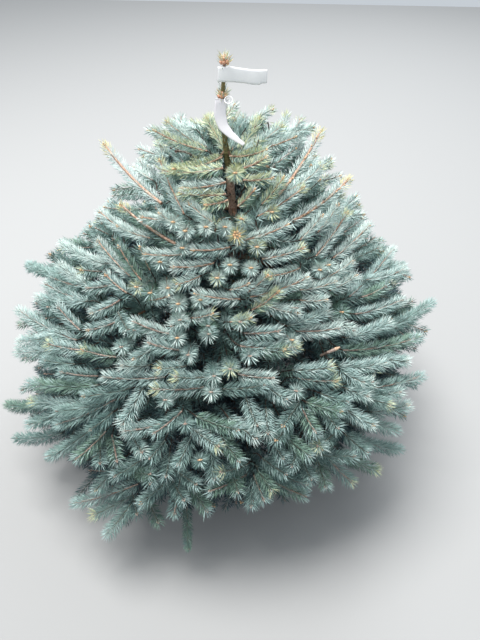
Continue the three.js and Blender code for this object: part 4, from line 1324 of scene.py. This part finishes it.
# needles pressed to the leader's stem
z, i = 846.0, 0
while z < 1012:
    c = trunk_centre(z)
    g = GOLDEN * i
    o = np.array([math.cos(g), math.sin(g), 0])
    th = math.radians(float(RNG.uniform(20, 42)))
    if z < 948 or i % 4 == 0:
        v, f = one_needle(np.array([c[0], c[1], z]) + o * trunk_radius(z) * 0.9, UP * math.cos(th) + o * math.sin(th), float(RNG.uniform(13, 18)), o + RNG.normal(0, 0.5, 3))
        LN.add(v, f, (GREEN, 3, GREEN, 1, WARM)[i % 5])
    i += 1
    z += 0.95
needle_tip, b = principled("needle_tip", srgb(234, 214, 156), 0.5, 0.4)
noise_mix(needle_tip, b, [srgb(218, 192, 132), srgb(240, 224, 176)], 80.0, 2.0, (0.4, 0.6), rough=(0.44, 0.6))
v, f, m = LN.arrays()
ob = make_object("needles_leader", v, f, needle_mats + [needle_tip], m, smooth_shade=False)
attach(ob, "root")
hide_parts("foliage_leader_tip", "foliage_leader_buds")
bud_top, b = principled("bud_top", srgb(222, 160, 128), 0.5)
noise_mix(bud_top, b, [srgb(186, 122, 96), srgb(224, 162, 130), srgb(240, 200, 170)], 300.0, 3.0, (0.34, 0.68), (0.4, 0.6), (0.5, 0.0006, 900.0))
v, f, m = LB.arrays()
ob = make_object("buds_leader", v, f, [bud_top], m)
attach(ob, "root")

# ------------------------------------------------------------------ blank label: flag, band, ring
label_mat, b = principled("label_white", (0.92, 0.92, 0.92), 0.42, 0.5)
noise_mix(label_mat, b, [(0.89, 0.89, 0.89), (0.95, 0.95, 0.95)], 30.0, 3.0, (0.3, 0.7), rough=(0.36, 0.5), bump=(0.12, 0.0006, 60.0))
# the band is the flag's white made a little darker and lilac: painted shade
shaded_band_mat, b = principled("label_band", (0.88, 0.85, 0.88), 0.42, 0.5)
noise_mix(shaded_band_mat, b, [(0.82, 0.79, 0.83), (0.90, 0.87, 0.89)], 30.0, 3.0, (0.3, 0.7), rough=(0.36, 0.5), bump=(0.12, 0.0006, 60.0))


def strip(name, centre, half, across, normal, thick, node_name, mat):
    """A thin sheet with rounded thickness: centre line (n,3), half widths (n,2) down and up."""
    n, m = len(centre), 9
    q = np.linspace(0, 1, m)
    off = -half[:, :1] + (half[:, :1] + half[:, 1:]) * q[None, :]
    mid = centre[:, None, :] + across[:, None, :] * off[..., None]
    curl = 0.6 * (1 - (2 * q - 1) ** 2)[None, :, None]
    front = mid + normal[:, None, :] * (thick / 2 + curl)
    back = mid - normal[:, None, :] * (thick / 2 - curl)
    ring = np.concatenate([front, back[:, ::-1]], 1)
    v, f = loft_rings(ring)
    ob = make_object(name, v, f, [mat])
    ob.data.polygons.foreach_set("use_smooth", np.ones(len(ob.data.polygons), bool))
    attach(ob, "root")
    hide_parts(node_name)
    return ob


fx, fy = trunk_centre(1003)
front_y = fy - trunk_radius(1003) - 2
u = np.linspace(0, 1, 61)
centre = np.stack([fx - 12 + 102 * u, front_y - 2.5 * np.sin(math.pi * u) - 1.2 * np.sin(9 * u), 1003 - 2 * u + 1.2 * np.sin(2 * math.pi * u) + 1.0], 1)
low = np.full(61, 14.5)
low[(u > 0.60) & (u < 0.88)] += 0.8
low[u >= 0.88] -= 1.6
high = 14.5 + 1.6 * np.exp(-((u - 0.25) / 0.12) ** 2) - 1.2 * u
across = np.repeat(unit(np.array([[0.0, 0.1, 1.0]])), 61, 0)
normal = np.repeat(unit(np.array([[0.0, -1.0, 0.1]])), 61, 0)
strip("label_flag_sheet", centre, np.stack([low, high], 1), across, normal, 0.8, "label_flag", label_mat)

marks = np.array([[956, -2], [950, -2], [924, -6], [902, 0], [886, 17], [871, 44]], float)
u = np.linspace(0, 1, 72)
k = np.linspace(0, 1, len(marks))
zz, xx = np.interp(u, k, marks[:, 0]), np.interp(u, k, marks[:, 1])
for _ in range(14):
    zz[1:-1] = (zz[:-2] + 2 * zz[1:-1] + zz[2:]) / 4
    xx[1:-1] = (xx[:-2] + 2 * xx[1:-1] + xx[2:]) / 4
cl = np.array([trunk_centre(z) for z in zz])
centre = np.stack([cl[:, 0] + xx, cl[:, 1] - np.array([trunk_radius(z) for z in zz]) - 3.5 - 30 * u**2, zz], 1)
run = unit(np.gradient(centre, axis=0))
across = np.array([1.0, 0, 0.2]) - run * (run @ np.array([1.0, 0, 0.2]))[:, None]
across = unit(across)
normal = unit(np.cross(run, across))
normal = np.where(normal[:, 1:2] > 0, -normal, normal)
wide = 13.0 * np.ones(72)
wide = np.where(u > 0.50, 13.0 - 9.0 * (u - 0.50) / 0.50, wide)
strip("label_band_sheet", centre, np.stack([wide, wide * np.where(u > 0.9, 0.8, 1)], 1), across, normal, 0.8, "label_band", shaded_band_mat)

d = ray(228.6, 100.0)
rc = CAM + d * ((-17.0 - CAM[1]) / d[1])
g = np.linspace(0, 2 * math.pi, 41)[:-1]
e1, e2 = CAM_R, unit(CAM_U + 0.15 * FWD)
loop = rc + 8.4 * (np.cos(g)[:, None] * e1 + np.sin(g)[:, None] * e2)
nn = np.cross(e1, e2)
rings = []
h = np.arange(8) / 8 * 2 * math.pi
for p_, gg in zip(loop, g):
    o = math.cos(gg) * e1 + math.sin(gg) * e2
    rings.append(p_ + 1.25 * (np.cos(h)[:, None] * o + np.sin(h)[:, None] * nn))
rings = np.array(rings)
vv = rings.reshape(-1, 3)
i, j = np.meshgrid(np.arange(40), np.arange(8), indexing="ij")
f = np.stack([i * 8 + j, i * 8 + (j + 1) % 8, ((i + 1) % 40) * 8 + (j + 1) % 8, ((i + 1) % 40) * 8 + j], -1).reshape(-1, 4)
ob = make_object("label_ring", vv, f, [label_mat])
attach(ob, "root")

# ------------------------------------------------------------------ pot and soil
pot_mat, b = principled("pot_plastic", (0.018, 0.018, 0.019), 0.42, 0.5)
noise_mix(pot_mat, b, [(0.014, 0.014, 0.015), (0.030, 0.029, 0.028)], 22.0, 6.0, (0.35, 0.75), rough=(0.34, 0.56), bump=(0.25, 0.0008, 240.0))
soil_mat, b = principled("soil_peat", (0.05, 0.035, 0.025), 0.95)
noise_mix(soil_mat, b, [(0.022, 0.015, 0.010), (0.055, 0.037, 0.024), (0.10, 0.07, 0.045)], 140.0, 6.0, (0.32, 0.72), rough=(0.85, 1.0), bump=(0.9, 0.002, 320.0))
pr = lambda z: 118 + 26 * z / 250
prof = [(0, 3), (96, 3), (100, 0.4), (104, 0), (115, 0), (117.4, 1.2), (118.6, 4)]
for zc in (58, 122, 186):
    prof += [(pr(zc - 5), zc - 5), (pr(zc - 2.4) + 0.9, zc - 2.4), (pr(zc + 2.4) + 0.9, zc + 2.4), (pr(zc + 5), zc + 5)]
prof += [(pr(224), 224), (pr(228) + 0.6, 228), (pr(229) + 4.8, 229.4), (pr(231) + 6, 231.4), (pr(246) + 6, 246), (pr(249) + 5.2, 249.2), (pr(250) + 3.4, 250.0), (pr(250) + 0.2, 250.0),
         (pr(249) - 2.4, 249.0), (pr(246) - 3, 246), (pr(120) - 3, 120), (pr(6) - 3.2, 7.5), (pr(4) - 7, 4.2), (0, 4.2)]
S = 128
ang = np.arange(S) / S * 2 * math.pi
body = prof[1:-1]
rings = np.array([[(r * math.cos(a), r * math.sin(a), z) for a in ang] for r, z in body])
rows = len(body)
i, j = np.meshgrid(np.arange(rows - 1), np.arange(S), indexing="ij")
f = tri(np.stack([i * S + j, i * S + (j + 1) % S, (i + 1) * S + (j + 1) % S, (i + 1) * S + j], -1).reshape(-1, 4))
v = np.concatenate([rings.reshape(-1, 3), [(0, 0, prof[0][1]), (0, 0, prof[-1][1])]])
f = np.concatenate([f, cap_ring(0, S, len(v) - 2, True), cap_ring((rows - 1) * S, S, len(v) - 1, False)])
pot_ob = make_object("pot_shell", v, f, [pot_mat])
cut = Batch()
for q in range(6):
    a = (q + 0.5) / 6 * 2 * math.pi
    h = np.arange(28) / 28 * 2 * math.pi
    ring = lambda z, rr: np.stack([84 * math.cos(a) + rr * np.cos(h), 84 * math.sin(a) + rr * np.sin(h), np.full(28, z)], 1)
    cut.add(*loft_rings(np.array([ring(-4, 8.4), ring(3.4, 8.0), ring(9, 8.0)])))
v, f, _ = cut.arrays()
cutter = make_object("pot_cutter", v, f, [])
mod = pot_ob.modifiers.new("holes", "BOOLEAN")
mod.operation, mod.solver, mod.object = "DIFFERENCE", "EXACT", cutter
dg = bpy.context.evaluated_depsgraph_get()
me = bpy.data.meshes.new_from_object(pot_ob.evaluated_get(dg))
pot_ob.modifiers.clear()
pot_ob.data = me
bpy.data.objects.remove(cutter)
me.polygons.foreach_set("use_smooth", np.ones(len(me.polygons), bool))
me.set_sharp_from_angle(angle=math.radians(38))
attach(pot_ob, "root")
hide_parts("pot")
print("pot", len(me.polygons))

S, R_ = 110, 40
ang = np.arange(S) / S * 2 * math.pi
rings = []
for q in range(4):
    z = 5.0 + (230.0 - 5.0) * q / 3
    rr = (pr(z) - 3.6) * 0.995
    rings.append(np.stack([rr * np.cos(ang), rr * np.sin(ang), np.full(S, z)], 1))
edge = (pr(236) - 3.6) * 0.995
for q in range(R_):
    rr = edge * (1 - q / R_) ** 0.9
    xy = np.stack([rr * np.cos(ang), rr * np.sin(ang)], 1)
    p3 = np.concatenate([xy, np.zeros((S, 1))], 1)
    lump = 1.5 * sines(p3, 24.0, 51) + 0.9 * sines(p3, 9.0, 52) + 0.6 * sines(p3, 4.0, 53)
    lift = 235.2 + lump + 1.8 * smooth((60 - rr) / 50) - 2.0 * (q == 0)
    rings.append(np.concatenate([xy, np.minimum(lift, 240)[:, None]], 1))
v, f = loft_rings(np.array(rings))
B = Batch()
B.add(v, f)
for q in range(420):     # crumbs of peat and bark
    rr, a = 138 * math.sqrt(RNG.random()), RNG.uniform(0, 6.28)
    if rr < 26 or rr > 133:
        continue
    s_ = RNG.uniform(1.2, 3.4)
    o = np.array([rr * math.cos(a), rr * math.sin(a), 236.4 + s_ * 0.3])
    box = np.array([[1, 0, 0], [-1, 0, 0], [0, 1, 0], [0, -1, 0], [0, 0, 1], [0, 0, -1]], float) * RNG.uniform(0.6, 1.3, (6, 1)) * s_ * [1, 1, 0.6]
    t_ = RNG.uniform(0, 6.28)
    rot = np.array([[math.cos(t_), -math.sin(t_), 0], [math.sin(t_), math.cos(t_), 0], [0, 0, 1]])
    B.add(o + box @ rot.T, np.array([[0, 2, 4], [2, 1, 4], [1, 3, 4], [3, 0, 4], [2, 0, 5], [1, 2, 5], [3, 1, 5], [0, 3, 5]]))
v, f, _ = B.arrays()
soil_ob = make_object("soil_top", v, f, [soil_mat])
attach(soil_ob, "root")
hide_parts("soil")
total += len(f) + len(pot_ob.data.polygons) + 27000
print("soil", len(f), "TOTAL", total)

# ------------------------------------------------------------------ floor, light, camera
floor_mat, b = principled("floor", (0.40, 0.40, 0.395), 0.9, 0.15)
fl = make_object("floor", np.array([[-6000, -6000, -0.5], [6000, -6000, -0.5], [6000, 6000, -0.5], [-6000, 6000, -0.5]]), np.array([[0, 1, 2, 3]]), [floor_mat])

bpy.context.scene.view_settings.view_transform = "Standard"
world = bpy.data.worlds.new("studio")
world.use_nodes = True
world.node_tree.nodes["Background"].inputs["Color"].default_value = (0.86, 0.93, 1.0, 1)
world.node_tree.nodes["Background"].inputs["Strength"].default_value = 0.66
bpy.context.scene.world = world


def area(name, loc, target, size, power, colour=(1, 1, 1)):
    li = bpy.data.lights.new(name, "AREA")
    li.shape, li.size, li.energy, li.color = "DISK", size, power, colour
    ob = bpy.data.objects.new(name, li)
    ob.location = loc
    ob.rotation_euler = (Vector(target) - Vector(loc)).to_track_quat("-Z", "Y").to_euler()
    bpy.context.scene.collection.objects.link(ob)


area("sky_key", (-1.1, 0.2, 5.4), (0, 0.2, 0.4), 3.0, 430, (1.0, 0.99, 0.98))
area("sky_back", (1.6, 4.2, 4.6), (0, 1.0, 0.2), 3.0, 150, (0.94, 0.97, 1.0))

cam_data = bpy.data.cameras.new("camera")
cam_data.sensor_width = 36.0
cam_data.lens = 36.0 * FOCAL / 640.0
cam_data.clip_start, cam_data.clip_end = 0.05, 60.0
cam = bpy.data.objects.new("camera", cam_data)
cam.matrix_world = Matrix(((CAM_R[0], CAM_U[0], -FWD[0], CAM[0] / 1000), (CAM_R[1], CAM_U[1], -FWD[1], CAM[1] / 1000), (CAM_R[2], CAM_U[2], -FWD[2], CAM[2] / 1000), (0, 0, 0, 1)))
bpy.context.scene.collection.objects.link(cam)
bpy.context.scene.camera = cam
